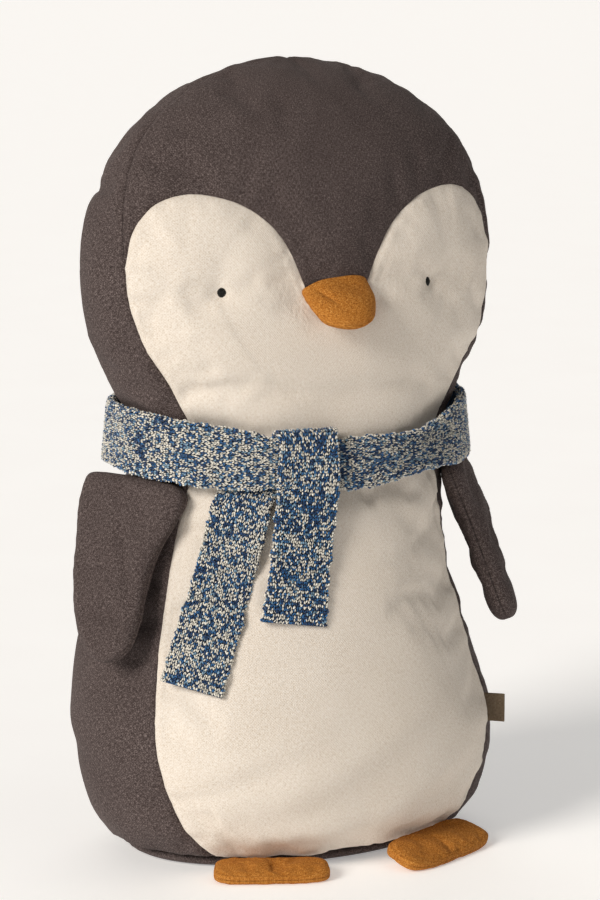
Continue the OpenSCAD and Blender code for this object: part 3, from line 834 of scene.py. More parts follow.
def build_base():
    """The oval base: a flat floor that turns up into a narrow side band."""
    around = 220
    turns = np.linspace(-180, 180, around, endpoint=False)
    outward = round_directions(turns)
    rings = []
    for inset, z in BASE_PROFILE:
        r = ring_radius(turns, BASE_HALF_WIDTH - inset, BASE_HALF_DEPTH - inset)
        rings.append(outward * r[:, None] + [0, 0, z])
    rings = np.array(rings)
    ripple = wander(np.abs(turns) * 2.1, 7, 31) * 0.5
    rings[1:6] += outward[None] * ripple[None, :, None]
    flat = np.concatenate([rings.reshape(-1, 3), [[0, 0, 0]]])
    rows = len(BASE_PROFILE)
    faces = [f[::-1] for f in grid_faces(rows, around, wrap=True)]
    faces += fan_faces(list(range((rows - 1) * around, rows * around)), rows * around, True, True)
    steps = np.linalg.norm(np.diff(rings[::-1], axis=0), axis=-1)
    reach = np.linalg.norm(rings[-1], axis=-1) + np.concatenate([0 * steps[:1], np.cumsum(steps, axis=0)])
    spread = unit(rings[..., :2]) * reach[::-1][..., None]
    cloth = np.concatenate([spread.reshape(-1, 2), [[0, 0]]])
    piece = mesh_piece("base_panel", flat, faces, shared_material("charcoal_washed_linen"), cloth)
    thicken(piece, CLOTH_THICK)
    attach(piece, "body")
    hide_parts("base_panel", "pellet_bag", "pellet_load")


# ---- pads: wings and feet ----------------------------------------------------------------------


def even_outline(outline, count):
    """The same closed outline with count points evenly spaced."""
    closed = np.concatenate([outline, outline[:1]])
    run = run_length(closed)
    s = np.linspace(0, run[-1], count, endpoint=False)
    return np.stack([np.interp(s, run, closed[:, k]) for k in range(2)], -1)


def rounded_outline(knots, count):
    """A smooth closed outline through knots."""
    knots = np.array(knots, float)
    t = np.linspace(0, len(knots), count * 4, endpoint=False)
    k = t.astype(int)
    u = (t - k)[:, None]
    a, b, c, d = (knots[(k + shift) % len(knots)] for shift in (-1, 0, 1, 2))
    curve = b + 0.5 * u * (c - a + u * (2 * a - 5 * b + 4 * c - d + u * (3 * (b - c) + d - a)))
    return even_outline(curve, count)


def superoval(count, half, length, corner):
    """Outline of a limb in its own plane, from y = 0 to y = length. half(y) is its half width there."""
    t = np.linspace(0, 2 * math.pi, count, endpoint=False)
    across, up = (np.sign(v) * np.abs(v) ** corner for v in (np.cos(t), np.sin(t)))
    y = length / 2 * (up + 1)
    return even_outline(np.stack([half(y) * across, y], -1), count)


class Pad:
    """A flat stuffed pad sewn from two pieces of cloth along its outline."""

    def __init__(self, outline, middle, half, rim, crown=0.12, rings=34, depth=4.0):
        self.outline = outline
        n = len(outline)
        shares = 1 - np.linspace(1, 0, rings) ** 1.35
        shares = shares[1:]
        spokes = outline - middle
        flat = middle + spokes[None] * shares[:, None, None]
        edge = even_outline(outline, 6 * n)
        self.far = np.array([np.linalg.norm(ring[:, None] - edge[None], axis=-1).min(-1) for ring in flat])
        self.far[-1] = 0
        self.run = np.broadcast_to(run_length(np.concatenate([outline, outline[:1]]))[:-1], self.far.shape)
        near = np.clip(self.far / rim, 0, 1)
        crowned = 1 - crown + crown * np.clip(self.far / self.far.max(), 0, 1)
        self.rise = half * np.sqrt(1 - (1 - near) ** 2.1) * crowned
        inward = -unit(spokes)
        flat = flat + inward[None] * (1.3 * np.exp(-self.far / 1.2))[..., None]
        self.flat = np.concatenate([flat, flat[-1:] + inward[None] * depth])
        self.rise = np.concatenate([self.rise, [np.full(n, 0.0)]])
        self.far = np.concatenate([self.far, self.far[-1:]])
        self.run = np.concatenate([self.run, self.run[-1:]])
        self.middle = np.array(middle, float)
        self.half = half

    def cloth(self, side, relief):
        """Points of one side, relief(x, y, far, run) out of the cloth, and its faces."""
        rows, n = self.flat.shape[:2]
        out = relief(self.flat[..., 0], self.flat[..., 1], self.far, self.run)
        out[-1] = -0.3
        z = side * np.maximum(self.rise + out, 0.15)
        grid = np.concatenate([self.flat, z[..., None]], -1)
        heart = np.r_[self.middle, side * (self.half + out[0].mean())]
        steps = np.diff(np.concatenate([np.broadcast_to(heart, (1, n, 3)), grid]), axis=0)
        reach = np.cumsum(np.linalg.norm(steps, axis=-1), axis=0)
        cloth = self.middle + unit(self.flat - self.middle) * reach[..., None]
        cloth = np.concatenate([cloth.reshape(-1, 2), [self.middle]])
        grid = grid.reshape(-1, 3)
        faces = [f[::-1] for f in grid_faces(rows, n, wrap=True)]
        faces += fan_faces(list(range(n)), rows * n, False, True)
        if side < 0:
            faces = [f[::-1] for f in faces]
        return np.concatenate([grid, [heart]]), faces, cloth

    def closed(self, shrink):
        """Both sides as one closed form for stuffing, a little smaller than the finished pad."""
        rows, n = self.flat.shape[0] - 1, self.flat.shape[1]
        top, low = (
            np.concatenate([self.flat[:-1], (side * self.rise[:-1] * shrink)[..., None]], -1)
            for side in (1, -1)
        )
        hearts = [[np.r_[self.middle, side * self.half * shrink]] for side in (1, -1)]
        points = np.concatenate([top.reshape(-1, 3), hearts[0], low[:-1].reshape(-1, 3), hearts[1]])
        start = rows * n + 1
        faces = [f[::-1] for f in grid_faces(rows, n, wrap=True)]
        faces += fan_faces(list(range(n)), rows * n, False, True)
        faces += grid_faces(rows - 1, n, start, wrap=True)
        faces += fan_faces(list(range(start, start + n)), len(points) - 1, True, True)
        last_low = start + (rows - 2) * n
        last_top = (rows - 1) * n
        for j in range(n):
            k = (j + 1) % n
            faces.append([last_low + j, last_low + k, last_top + k, last_top + j])
        return points, faces


WING_THICK = 19.0
WING_MIDDLE = (-2, -65)
# Middle of the left wing's seam, the way it faces, and its tilt
WING_SEAM, WING_HEADING, WING_TILT = (120, -15.6, 269.6), 60, 70
# Outline of a wing in its own plane: x to the back edge, y up to the seam
WING_OUTLINE = [
    (36.5, -50), (39, -34), (40, -20), (39, -8), (35, -1.5), (25, 0), (10, 0), (-5, 0), (-20, -0.5),
    (-33, -2.5), (-42, -6), (-46, -12), (-45, -20), (-41, -31), (-35, -44), (-30.5, -60), (-29, -80),
    (-28.5, -100), (-25, -116), (-17, -126), (-6, -130), (5, -127), (16, -117), (25, -100), (31, -80),
    (34.5, -65),
]
FOOT_LENGTH, FOOT_WIDTH, FOOT_THICK = 37.0, 100.0, 9.0
# Each foot: middle of its seam, the way it turns out, its slope to the floor, share of the full size
FEET = {1: ((62, -84, 13.14), 26, 18, 1.0), -1: ((52, -84.5, 7.95), 22, 10, 0.84)}


def wing_matrix(side):
    matrix = shifted(*WING_SEAM) @ turned("Z", WING_HEADING) @ turned("X", WING_TILT) @ shifted(0, -1, 0)
    return matrix if side > 0 else MIRROR_X @ matrix


def foot_matrix(side):
    seam, heading, slope, share = FEET[side]
    matrix = shifted(*seam) @ turned("Z", heading + 180) @ turned("X", -slope)
    matrix = matrix @ np.diag([share, share, 1.0, 1.0])
    return matrix if side > 0 else MIRROR_X @ matrix


def pad_pieces(names, pad, matrix, mirrored, relief, swell, material, nodes, body):
    for side, name, stands_for in ((1, names[0], nodes[0]), (-1, names[1], nodes[1])):
        points, faces, cloth = pad.cloth(side, relief)
        points = points + swell.at(points)
        if mirrored:
            faces = [f[::-1] for f in faces]
        piece = mesh_piece(name, placed(matrix, points), faces, material, cloth)
        thicken(piece, 1.0)
        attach(piece, body)
        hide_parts(*stands_for)


def build_wings(look):
    outline = rounded_outline(WING_OUTLINE, 240)
    pad = Pad(outline, np.array(WING_MIDDLE), WING_THICK / 2, 13, rings=40)

    def hold(p):
        gap = np.linalg.norm(p[:, None, :2] - outline[None], axis=-1).min(1)
        return np.clip(np.maximum(1.3 - gap / 4, (p[:, 1] > -6) * 1.0), 0, 1)

    points, faces = pad.closed(0.85)
    swell = stuffed(points, faces, hold, 4.0, look.pressure, look.wing_swell / MM, look.cloth_slack)
    for side, word in ((1, "left"), (-1, "right")):
        def relief(x, y, far, run, seed=side):
            spread = np.stack([x, y, x * 0 + seed * 40], -1)
            grip = (1 - np.exp(-far / 2)) * (0.6 + 0.4 * wander(run, 50, 41 + seed))
            creases = -np.maximum(0, wander(run, 9, 43 + seed)) * 0.8 * np.exp(-far / 6)
            creases += wander(run, 26, 45 + seed) * 0.8 * np.exp(-far / 16)
            shoulder = -1.3 * bump(y, -12, 7) * (0.6 + 0.4 * np.cos(x / 7 + seed))
            # A long crease from the shoulder towards the tip, with the cloth swelling on one side of it
            off_line = x - 14 * seed - 0.34 * (y + 62)
            long_crease = (0.9 * bump(off_line, 9, 7) - 2.3 * bump(off_line, 0, 4.5)) * bump(y, -64, 36)
            fold = -1.4 * bump(y + 0.5 * x, -96, 5) * bump(x, -4 * seed, 20)
            soft = 1.2 * lumps(spread, 52, 47 + seed)
            return grip * creases + (shoulder + long_crease + fold + soft) * (1 - np.exp(-far / 8))

        pad_pieces(
            [f"wing_{word}_outer", f"wing_{word}_inner"], pad, wing_matrix(side), side < 0, relief, swell,
            shared_material("charcoal_washed_linen"),
            [[f"wing_{word}_outer", f"wing_{word}_stuffing"], [f"wing_{word}_inner"]], f"wing_{word}",
        )


def build_feet(look):
    outline = superoval(200, lambda y: FOOT_WIDTH / 2 - 5 * (1 - y / FOOT_LENGTH), FOOT_LENGTH, 0.6)
    # The back edge follows the round belly
    outline[:, 1] -= 4.5 * (outline[:, 0] / (FOOT_WIDTH / 2)) ** 2 * (1 - outline[:, 1] / FOOT_LENGTH)
    pad = Pad(outline, np.array([0, FOOT_LENGTH * 0.5]), FOOT_THICK / 2, 6, rings=30, depth=2.5)

    def hold(p):
        gap = np.linalg.norm(p[:, None, :2] - outline[None], axis=-1).min(1)
        return np.clip(1.3 - gap / 3, 0, 1)

    points, faces = pad.closed(0.85)
    swell = stuffed(points, faces, hold, 2.6, look.pressure, look.foot_swell / MM, look.cloth_slack)
    for side, word in ((1, "left"), (-1, "right")):
        def relief(x, y, far, run, seed=side):
            spread = np.stack([x, y, x * 0 + seed * 30], -1)
            creases = -np.maximum(0, wander(run, 6, 53 + seed)) * 0.9 * np.exp(-far / 6)
            turned_edge = -0.5 * bump(far, 3.2, 0.9) + 0.25 * bump(far, 1.6, 0.9)
            dents = -0.9 * bump(x - 0.6 * y, 8 * seed, 7) * bump(y, 20, 9)
            dents -= 0.7 * bump(x + 0.4 * y, -22 * seed, 6) * bump(y, 16, 10)
            soft = 0.6 * lumps(spread, 26, 57 + seed) + 0.3 * lumps(spread, 11, 58 + seed)
            return (1 - np.exp(-far / 2)) * creases + turned_edge + (dents + soft) * (1 - np.exp(-far / 3))

        pad_pieces(
            [f"foot_{word}_upper", f"foot_{word}_sole"], pad, foot_matrix(side), side < 0, relief, swell,
            shared_material("ochre_washed_linen"),
            [[f"foot_{word}_upper", f"foot_{word}_wadding"], [f"foot_{word}_sole"]], f"foot_{word}",
        )


# ---- beak and eyes -------------------------------------------------------------------------------


# Where the beak is sewn on, its tilt down and its roll, since it was sewn on a little askew
BEAK_ROOT, BEAK_TILT, BEAK_ROLL = (-2, -87, 391.5), 124, 9
BEAK_LENGTH, BEAK_HALF_WIDTH, BEAK_HALF_HEIGHT = 31.0, 23.0, 7.4
BEAK_HALVES = ((1, "beak_upper", ("beak_upper", "beak_stuffing")), (-1, "beak_under", ("beak_under",)))


def build_beak():
    """Two shaped pieces sewn round the edge and pushed out by stuffing."""
    matrix = shifted(*BEAK_ROOT) @ turned("X", BEAK_TILT) @ turned("Z", BEAK_ROLL)
    rows, tip_rows, columns = 60, 14, 64
    near_tip = 0.9 + 0.0995 * np.sin(np.linspace(0.1, math.pi / 2, tip_rows))
    along = np.concatenate([np.linspace(-0.3, 0.9, rows - tip_rows), near_tip])
    for side, name, nodes in BEAK_HALVES:
        # The upper piece reaches a little way down the sides, so the seam lies near the lower rim
        reach = 16 if side > 0 else -16
        s, t = np.meshgrid(along, np.radians(np.linspace(-reach, 180 + reach, columns)), indexing="ij")
        ahead = np.clip(s, 0, 1)
        width = BEAK_HALF_WIDTH * (0.97 + 0.04 * np.sin(math.pi * ahead) - 0.17 * ahead)
        width = width * np.sqrt(1 - ahead**3.2)
        height = (BEAK_HALF_HEIGHT + 1.9 * np.sin(math.pi * ahead)) * np.sqrt(1 - ahead**4)
        width = width + 2.0 * np.clip(-s, 0, 1)
        x, y, z = width * np.cos(t), side * height * np.sin(t), BEAK_LENGTH * s
        points = np.stack([x, y, z], -1)
        far = np.minimum(t - t[0, 0], t[0, -1] - t) * 14
        # A fold runs from the left root, and the tip's lip turns up a little along the seam
        pinch = -1.8 * bump(x + 13.5 - 0.35 * z, 0, 2.2) * bump(z, 6, 9) * (side > 0)
        pinch += (0.7 * bump(far, 3.0, 1.5) - 0.5 * bump(far, 6.0, 1.6)) * bump(ahead, 0.85, 0.4)
        groove = -1.1 * np.exp(-far / 1.1)
        crease = -np.maximum(0, wander(z + x * 0.2, 5, 61)) * 0.6 * np.exp(-far / 5)
        soft = 0.7 * lumps(points, 22, 63 + side)
        out = unit(np.stack([x / 529, y / 90, ahead**3 * 0.05], -1))
        points = points + out * (pinch + groove + crease + soft)[..., None]
        cloth = np.stack([np.abs(t) * 16, z], -1)
        points, cloth = tucked(points, out, cloth, ("left", "right"), 2.5)
        m, n = points.shape[:2]
        flat = np.concatenate([points.reshape(-1, 3), [[0, 0, BEAK_LENGTH]]])
        faces = grid_faces(m, n) + fan_faces(list(range((m - 1) * n, m * n)), m * n)
        if side > 0:
            faces = [f[::-1] for f in faces]
        uv = np.concatenate([cloth.reshape(-1, 2), [[25, BEAK_LENGTH]]])
        piece = mesh_piece(name, placed(matrix, flat), faces, shared_material("ochre_washed_linen"), uv)
        thicken(piece, 0.9)
        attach(piece, "body")
        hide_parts(*nodes)


def tube(line, radius, sides=7):
    """A round thread along a line of points, closed at both ends."""
    ahead = unit(np.gradient(line, axis=0))
    helper = np.array([0.3, 0.2, 0.93])
    across = unit(np.cross(ahead, helper))
    up = np.cross(ahead, across)
    turn = np.linspace(0, 2 * math.pi, sides, endpoint=False)
    ring = np.cos(turn)[None, :, None] * across[:, None] + np.sin(turn)[None, :, None] * up[:, None]
    points = line[:, None] + ring * np.broadcast_to(radius, len(line))[:, None, None]
    n = len(line)
    faces = [f[::-1] for f in grid_faces(n, sides, wrap=True)]
    faces += [list(range(sides)), list(range((n - 1) * sides, n * sides))[::-1]]
    return points.reshape(-1, 3), [f[::-1] for f in faces]


def threads(name, lines, radius, material):
    """One piece from many separate threads."""
    points, faces, start = [], [], 0
    for line in lines:
        p, f = tube(np.asarray(line, float), radius)
        points.append(p)
        faces += [[v + start for v in face] for face in f]
        start += len(p)
    return mesh_piece(name, np.concatenate(points), faces, material)


def build_eyes(look):
    """Each eye is a pad of close black satin stitches over a knot, drawn into its dimple."""
    for side, name, nodes in ((1, "eye_left", ("eye_left", "eye_thread")), (-1, "eye_right", ("eye_right",))):
        turn = eye_turn(side)
        middle = skin(turn, EYE_HEIGHT, -look.eye_pull / MM + 0.4)
        heading = math.radians(turn * 0.72)
        right = np.array([math.cos(heading), math.sin(heading), 0])
        out = np.array([math.sin(heading), -math.cos(heading), 0])
        lines = []
        for x in np.linspace(-1, 1, 9):
            tall = math.sqrt(1 - (x * 0.93) ** 2)
            a = np.linspace(-0.15, math.pi + 0.15, 13)
            wobble = 0.12 * math.sin(9 * x)
            lines.append(
                middle + right * (x * 2.5 + wobble) + np.outer(np.cos(a) * 3.7 * tall, [0.06, 0, 1])
                + np.outer(np.sin(a) * (1.0 + 1.9 * tall) - 0.8, out)
            )
        piece = threads(name, lines, 0.46, shared_material("black_stranded_cotton"))
        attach(piece, "body")
        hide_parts(*nodes)


# The hand stitches of the back seam: how many, height of the first, spacing, half length of each
STITCH_COUNT, STITCH_START, STITCH_PITCH, STITCH_HALF = 9, 120, 7, 2.9


def build_stitches():
    """Ladder stitches that close the back seam, each one sunk a little into the cloth."""
    lines = []
    for k in range(STITCH_COUNT):
        base = skin(180, STITCH_START + STITCH_PITCH * k, 0.2)
        x = np.linspace(-STITCH_HALF, STITCH_HALF, 9)
        rise = 1.0 - 2.6 * (np.abs(x) / STITCH_HALF) ** 3
        lines.append(base + np.stack([x, rise, 0.25 * x * (-1) ** k], -1))
    piece = threads("closing_stitches", lines, 0.42, shared_material("dark_sewing_thread"))
    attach(piece, "body")
    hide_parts("closing_stitches")


# ---- scarf ---------------------------------------------------------------------------------------


class Ribbon:
    """A flat knitted strip that follows a path. Out of the strip is its outer side."""

    def __init__(self, line, across, half_width, half_thick, loop=False):
        self.run = run_length(line)
        self.length = self.run[-1]
        self.line, self.across = line, unit(across)
        ahead = unit(np.gradient(line, axis=0))
        if loop:
            ahead[0] = ahead[-1] = unit(line[1] - line[-2])
        self.out = unit(np.cross(ahead, self.across))
        self.half_width, self.half_thick = half_width, half_thick

    def at(self, values, v):
        return np.stack([np.interp(v, self.run, values[:, k]) for k in range(3)], -1)

    def place(self, q, v, h):
        """Points at section share q, run v in millimetres and height h above the section."""
        a = np.broadcast_to(self.half_width(v / self.length), v.shape)
        x, y, nx, ny = stadium(q, a, self.half_thick)
        return (
            self.at(self.line, v)
            + self.at(self.across, v) * (x + nx * h)[..., None]
            + self.at(self.out, v) * (y + ny * h)[..., None]
        )


def stadium(q, a, b):
    """Section of a strip with round edges: q runs from the middle of its outer side once round."""
    flat, bend = 2 * (a - b), math.pi * b
    s = (q % 1.0) * 2 * (flat + bend)
    s1, s2, s3, s4 = flat / 2, flat / 2 + bend, flat * 1.5 + bend, flat * 1.5 + 2 * bend
    first, second = np.clip((s - s1) / bend, 0, 1), np.clip((s - s3) / bend, 0, 1)
    turn = math.pi * (first + second)
    nx, ny = np.sin(turn), np.cos(turn)
    x = np.where(
        s < s1, s, np.where(s < s2, s1, np.where(s < s3, s1 - (s - s2), np.where(s < s4, -s1, s - s4 - s1)))
    )
    return x + nx * b, ny * b, nx, ny


# One leg of a knitted stitch: along its length, share of full width, height in mm
LEG = [(0.2, 0.8, 0.4), (0.5, 1.0, 0.9), (0.8, 0.85, 0.45)]
# Share of pale blue yarn, and share of legs that keep the dye of the leg before
PALE_SHARE, KEPT_SHARE = 0.11, 0.16


def stitches(name, ribbon, first, last, wales, course, seed, undyed, look):
    """Yarn stitches over a ribbon, each a V of two legs, dyed leg by leg. undyed is the share left cream."""
    rng = np.random.RandomState(seed)
    courses = int(ribbon.length / course)
    course = ribbon.length / courses
    i, j, side = np.meshgrid(np.arange(wales), np.arange(courses), [-1, 1], indexing="ij")
    i, j, side = (g.ravel() for g in (i, j, side))
    radius_u, radius_h = 0.235, look.yarn / MM * 0.42
    template = [(0.0, 0.0, -0.1)]
    for along, wide, high in LEG:
        for du, dh in ((1, 0), (0, 1), (-1, 0), (0, -1)):
            template.append((along, du * wide * radius_u, high + dh * wide * radius_h))
    template.append((1.0, 0.0, -0.1))
    template = np.array(template)
    jitter = rng.normal(size=(len(i), 5)) * [0.06, 0.16, 0.18, 0.10, 0.16]
    along = template[None, :, 0]
    lean = 0.34 + jitter[:, 3:4]
    wide = 0.86 + jitter[:, 4:5]
    u = i[:, None] + 0.5 + side[:, None] * (0.08 + lean * along) + template[None, :, 1] * wide + jitter[:, :1]
    v = (j[:, None] - 0.3 + 1.4 * along + jitter[:, 1:2]) * course
    h = template[None, :, 2] + jitter[:, 2:3]
    v = np.clip(v, 0.2, ribbon.length - 0.2)
    q = first + (last - first) * u / wales
    points = ribbon.place(q, v, h).reshape(-1, 3)
    rings = len(LEG)
    leg_faces = [[0, 1 + (k + 1) % 4, 1 + k] for k in range(4)]
    leg_faces += [f[::-1] for f in grid_faces(rings, 4, 1, wrap=True)]
    tip = len(template) - 1
    leg_faces += [[tip, tip - 4 + k, tip - 4 + (k + 1) % 4] for k in range(4)]
    leg_faces = facing_out(points[: len(template)], leg_faces)
    faces = []
    for start in range(0, len(i) * len(template), len(template)):
        faces += [[start + v for v in f] for f in leg_faces]
    piece = mesh_piece(name, points, faces, shared_material("marled_wool"))
    # Short runs of one dye along each course, pooled in slow waves
    palette = np.array([linear(c) for c in (look.blue, look.pale_blue, look.cream, look.navy)])
    pool = wander(j * course + seed * 37, 17, seed + 1) * 0.07
    pool = pool + wander(j * course + i * 3.0, 5, seed + 2) * 0.12
    pick = rng.rand(len(i))
    kept = rng.rand(len(i)) < KEPT_SHARE
    order = np.lexsort((side, i, j))
    for a, b in zip(order[:-1], order[1:]):
        if kept[b]:
            pick[b] = pick[a]
    level = pick + pool
    light = undyed + PALE_SHARE
    dark = np.where(level < 0.62 + light / 3, 0, 3)
    choice = np.where(level < undyed, 2, np.where(level < light, 1, dark))
    dye = palette[choice] * np.r_[1, 1, 1, 0] + [0, 0, 0, 1]
    dye[:, :3] *= rng.uniform(0.72, 1.12, (len(i), 1))
    layer = piece.data.attributes.new("dye", "FLOAT_COLOR", "POINT")
    layer.data.foreach_set("color", np.repeat(dye, len(template), axis=0).astype(np.float32).ravel())
    return piece


def strip_mesh(name, ribbon, loop, step=2.5, around=44):
    """A dark strip under the knit's stitches: painted shade that shows in the gaps between them."""
    rows = int(ribbon.length / step) + 1
    v = np.linspace(0, ribbon.length, rows, endpoint=not loop)
    q = np.linspace(0, 1, around, endpoint=False)
    vv, qq = np.meshgrid(v, q, indexing="ij")
    grid = ribbon.place(qq, vv, np.zeros(vv.shape))
    flat = grid.reshape(-1, 3)
    faces = grid_faces(rows, around, wrap=True)
    if loop:
        last = (rows - 1) * around
        faces += [[last + k, last + (k + 1) % around, (k + 1) % around, k] for k in range(around)]
    else:
        faces += [list(range(around))[::-1], list(range((rows - 1) * around, rows * around))]
    return mesh_piece(name, flat, facing_out(flat, faces), shared_material("knit_ground"))


BAND_WIDE, BAND_DEEP, BAND_SWAY, BAND_BACK = 124.5, 91.0, 2.0, -1.0


def band_ribbon():
    turns = np.linspace(-180, 180, 721)
    height = 293 - 14 * np.maximum(0, np.cos(np.radians(turns))) ** 1.5
    r = ring_radius(turns, BAND_WIDE + 3, BAND_DEEP + 3)
    ripple = 1.1 * wander(np.abs(turns) * 1.9, 22, 71) * (1 - bump(np.abs(turns), 180, 12))
    r = r + ripple
    t = np.radians(turns)
    line = np.stack([r * np.sin(t) + BAND_SWAY, BAND_BACK - r * np.cos(t), height], -1)
    tilt = np.stack([-0.10 * np.sin(t), 0.10 * np.cos(t), np.ones(len(t))], -1)

    def half(share):
        turn = share * 360 - 180
        return 20.6 - 5 * bump(turn, -17, 20) - 7 * bump(turn, 28, 22) + 0.8 * wander(turn * 1.9, 5, 73)

    return Ribbon(line, tilt, half, 1.9, loop=True)


def hang(origin, heading, pitch, lean):
    return shifted(*origin) @ turned("Z", heading) @ turned("X", -pitch) @ turned("Y", lean)


def curve_through(knots, step=0.8):
    """A smooth line through knots, with across directions carried along: knots are (point, across)."""
    points = np.array([k[0] for k in knots], float)
    across = np.array([k[1] for k in knots], float)
    run = run_length(points)
    table = np.column_stack([run, points, across])
    s = np.linspace(0, run[-1], int(run[-1] / step) + 1)
    columns = [smooth_curve(table, s, k, flat_ends=False) for k in range(1, 7)]
    return np.stack(columns[:3], -1), np.stack(columns[3:], -1)


TAIL_HALF = 22.5
# Each tail's hinge, heading, pitch outward and lean sideways
FRONT_TAIL = ((-30, -98.5, 264.5), -9, 5, 8)
BACK_TAIL = ((-69, -79.5, 257), -32, 11, 14)


def front_ribbon():
    """Up behind the band, over it, down in front and on down as the front tail."""
    knot = shifted(-28, -88.2, 0) @ turned("Z", -9)
    # Distance out from the body, height
    path = [(-2.4, 268), (-2.5, 276), (-2.5, 285), (-2.4, 293), (-1.2, 298.5), (2.0, 301.6), (6.0, 301.6),
            (9.2, 298.8), (10.2, 293), (10.3, 285), (10.3, 277), (10.4, 270)]
    side = knot[:3, :3] @ np.array([1.0, 0, 0])
    knots = [(placed(knot, np.array([[0, -out, z]]))[0], side) for out, z in path]
    tail = hang(*FRONT_TAIL)
    for down in (4, 12, 22, 34, 47, 60, 72, 82, 90.5):
        sway = 0.9 * math.sin(down / 17)
        knots.append((placed(tail, np.array([[0.4 * math.sin(down / 23), sway, -down]]))[0],
                      tail[:3, :3] @ np.array([1.0, 0.10 * math.sin(down / 30), 0])))
    line, across = curve_through(knots)

    def half(share):
        edge = 0.8 * wander(share * 170, 5, 81) + 0.6 * wander(share * 170, 14, 82)
        return TAIL_HALF - 1.2 + edge - 1.6 * bump(share, 0.33, 0.12) + 1.6 * np.exp((share - 1) * 24)

    return Ribbon(line, across, half, 1.25)


def back_ribbon():
    """Out from behind the band below the knot, then down beside the front tail."""
    tail = hang(*BACK_TAIL)
    side = tail[:3, :3] @ np.array([1.0, 0, 0])
    knots = []
    for up, out in ((22, -9.5), (14, -6.5), (7, -3.2), (0, -0.4)):
        knots.append((placed(tail, np.array([[up * 0.25, out * -1.0, up]]))[0], side))
    for down in (9, 20, 34, 50, 66, 82, 98, 112, 124, 130.5):
        sway = 1.1 * math.sin(down / 21)
        knots.append((placed(tail, np.array([[0.6 * math.sin(down / 30), sway, -down]]))[0],
                      tail[:3, :3] @ np.array([1.0, 0.12 * math.sin(down / 35), 0])))
    line, across = curve_through(knots)

    def half(share):
        edge = 0.8 * wander(share * 150, 5, 91) + 0.6 * wander(share * 150, 15, 92)
        return TAIL_HALF - 2.7 + edge - 1.2 * bump(share, 0.1, 0.1) + 1.6 * np.exp((share - 1) * 24)

    return Ribbon(line, across, half, 1.25)


def build_scarf(look):
    wale = look.stitch_width / MM
    course = look.stitch_height / MM
    band = band_ribbon()
    # The dark strip under the stitches is painted shade for the gaps between them
    gap_shade_strip = strip_mesh("scarf_band", band, True)
    # The yarn covers the band's outer side and its edges, and the whole round of a tail
    band_wales, tail_wales = int(round(56 / wale)), int(round(92 / wale))
    yarn = stitches("scarf_band_stitches", band, -0.30, 0.30, band_wales, course, 5, 0.53, look)
    for piece in (gap_shade_strip, yarn):
        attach(piece, "body")
    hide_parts("scarf_band")
    front_nodes = ("scarf_knot", "scarf_tail_front")
    # Each row: name, path, body, hinge, CAD nodes, seed of the dyes, share left cream
    tails = (
        ("scarf_front", front_ribbon(), "front_tail", FRONT_TAIL[0], front_nodes, 7, 0.44),
        ("scarf_back", back_ribbon(), "back_tail", BACK_TAIL[0], ("scarf_tail_back",), 9, 0.56),
    )
    for name, ribbon, body, hinge, nodes, seed, undyed in tails:
        # Each tail also gets the dark strip of painted gap shade under its stitches
        gap_shade_strip = strip_mesh(name, ribbon, False)
        yarn = stitches(name + "_stitches", ribbon, 0, 1, tail_wales, course, seed, undyed, look)
        for piece in (gap_shade_strip, yarn):
            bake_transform(piece)
        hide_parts(*nodes)


# ---- label ---------------------------------------------------------------------------------------


# The label's lower edge, its height and the way it points
LABEL_LOW, LABEL_TALL, LABEL_HEADING = 81, 20, -34


def build_label():
    """A blank woven strip folded into a loop, with its two ends in the side seam."""
    seam_turn = float(seam_angle(LABEL_LOW + LABEL_TALL / 2))
    matrix = shifted(*skin(seam_turn, LABEL_LOW, 0.6)) @ turned("Z", LABEL_HEADING)
    bend = np.linspace(-math.pi / 2, math.pi / 2, 9)
    loop = [(x, -0.55) for x in np.linspace(-3, 10.6, 12)]
    loop += [(11.0 + 0.75 * math.cos(b), 0.55 * math.sin(b)) for b in bend]
    loop += [(x, 0.55) for x in np.linspace(10.6, -3, 12)]
    loop = np.array(loop)
    z = np.linspace(0, LABEL_TALL, 24)
    grid = np.zeros((len(z), len(loop), 3))
    grid[..., 0], grid[..., 1] = loop[None, :, 0], loop[None, :, 1]
    grid[..., 2] = z[:, None]
    grid[..., 1] += (0.5 * np.sin(z / 7)[:, None] - 1.6) * (loop[None, :, 0] / 12).clip(0) ** 1.6
    run = run_length(loop)
    cloth = np.stack(np.broadcast_arrays(run[None, :], z[:, None]), -1)
    piece = mesh_piece(
        "side_label", placed(matrix, grid.reshape(-1, 3)), grid_faces(*grid.shape[:2]),
        shared_material("woven_tape"), cloth.reshape(-1, 2),
    )
    thicken(piece, 0.35)
    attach(piece, "label")
    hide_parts("side_label")


# ---- stage -----------------------------------------------------------------------------------------


def sun_light(name, turn, rise, spread, strength, tint):
    """A very wide soft light from far away, turn degrees round from the front and rise degrees up."""
    lamp = bpy.data.lights.new(name, "SUN")
    lamp.angle = math.radians(spread)
    lamp.energy = strength
    lamp.color = linear(tint)[:3]
    holder = bpy.data.objects.new(name, lamp)
    t, r = math.radians(turn), math.radians(rise)
    away = Vector((math.sin(t) * math.cos(r), -math.cos(t) * math.cos(r), math.sin(r)))
    holder.rotation_euler = (-away).to_track_quat("-Z", "Y").to_euler()
    bpy.context.scene.collection.objects.link(holder)


# Half the floor's side, and how far it lies below the penguin
FLOOR_HALF, FLOOR_DROP = 60000.0, 0.4
# Strength of the light from behind, as a multiple of the fill light's
BEHIND_SHARE = 8


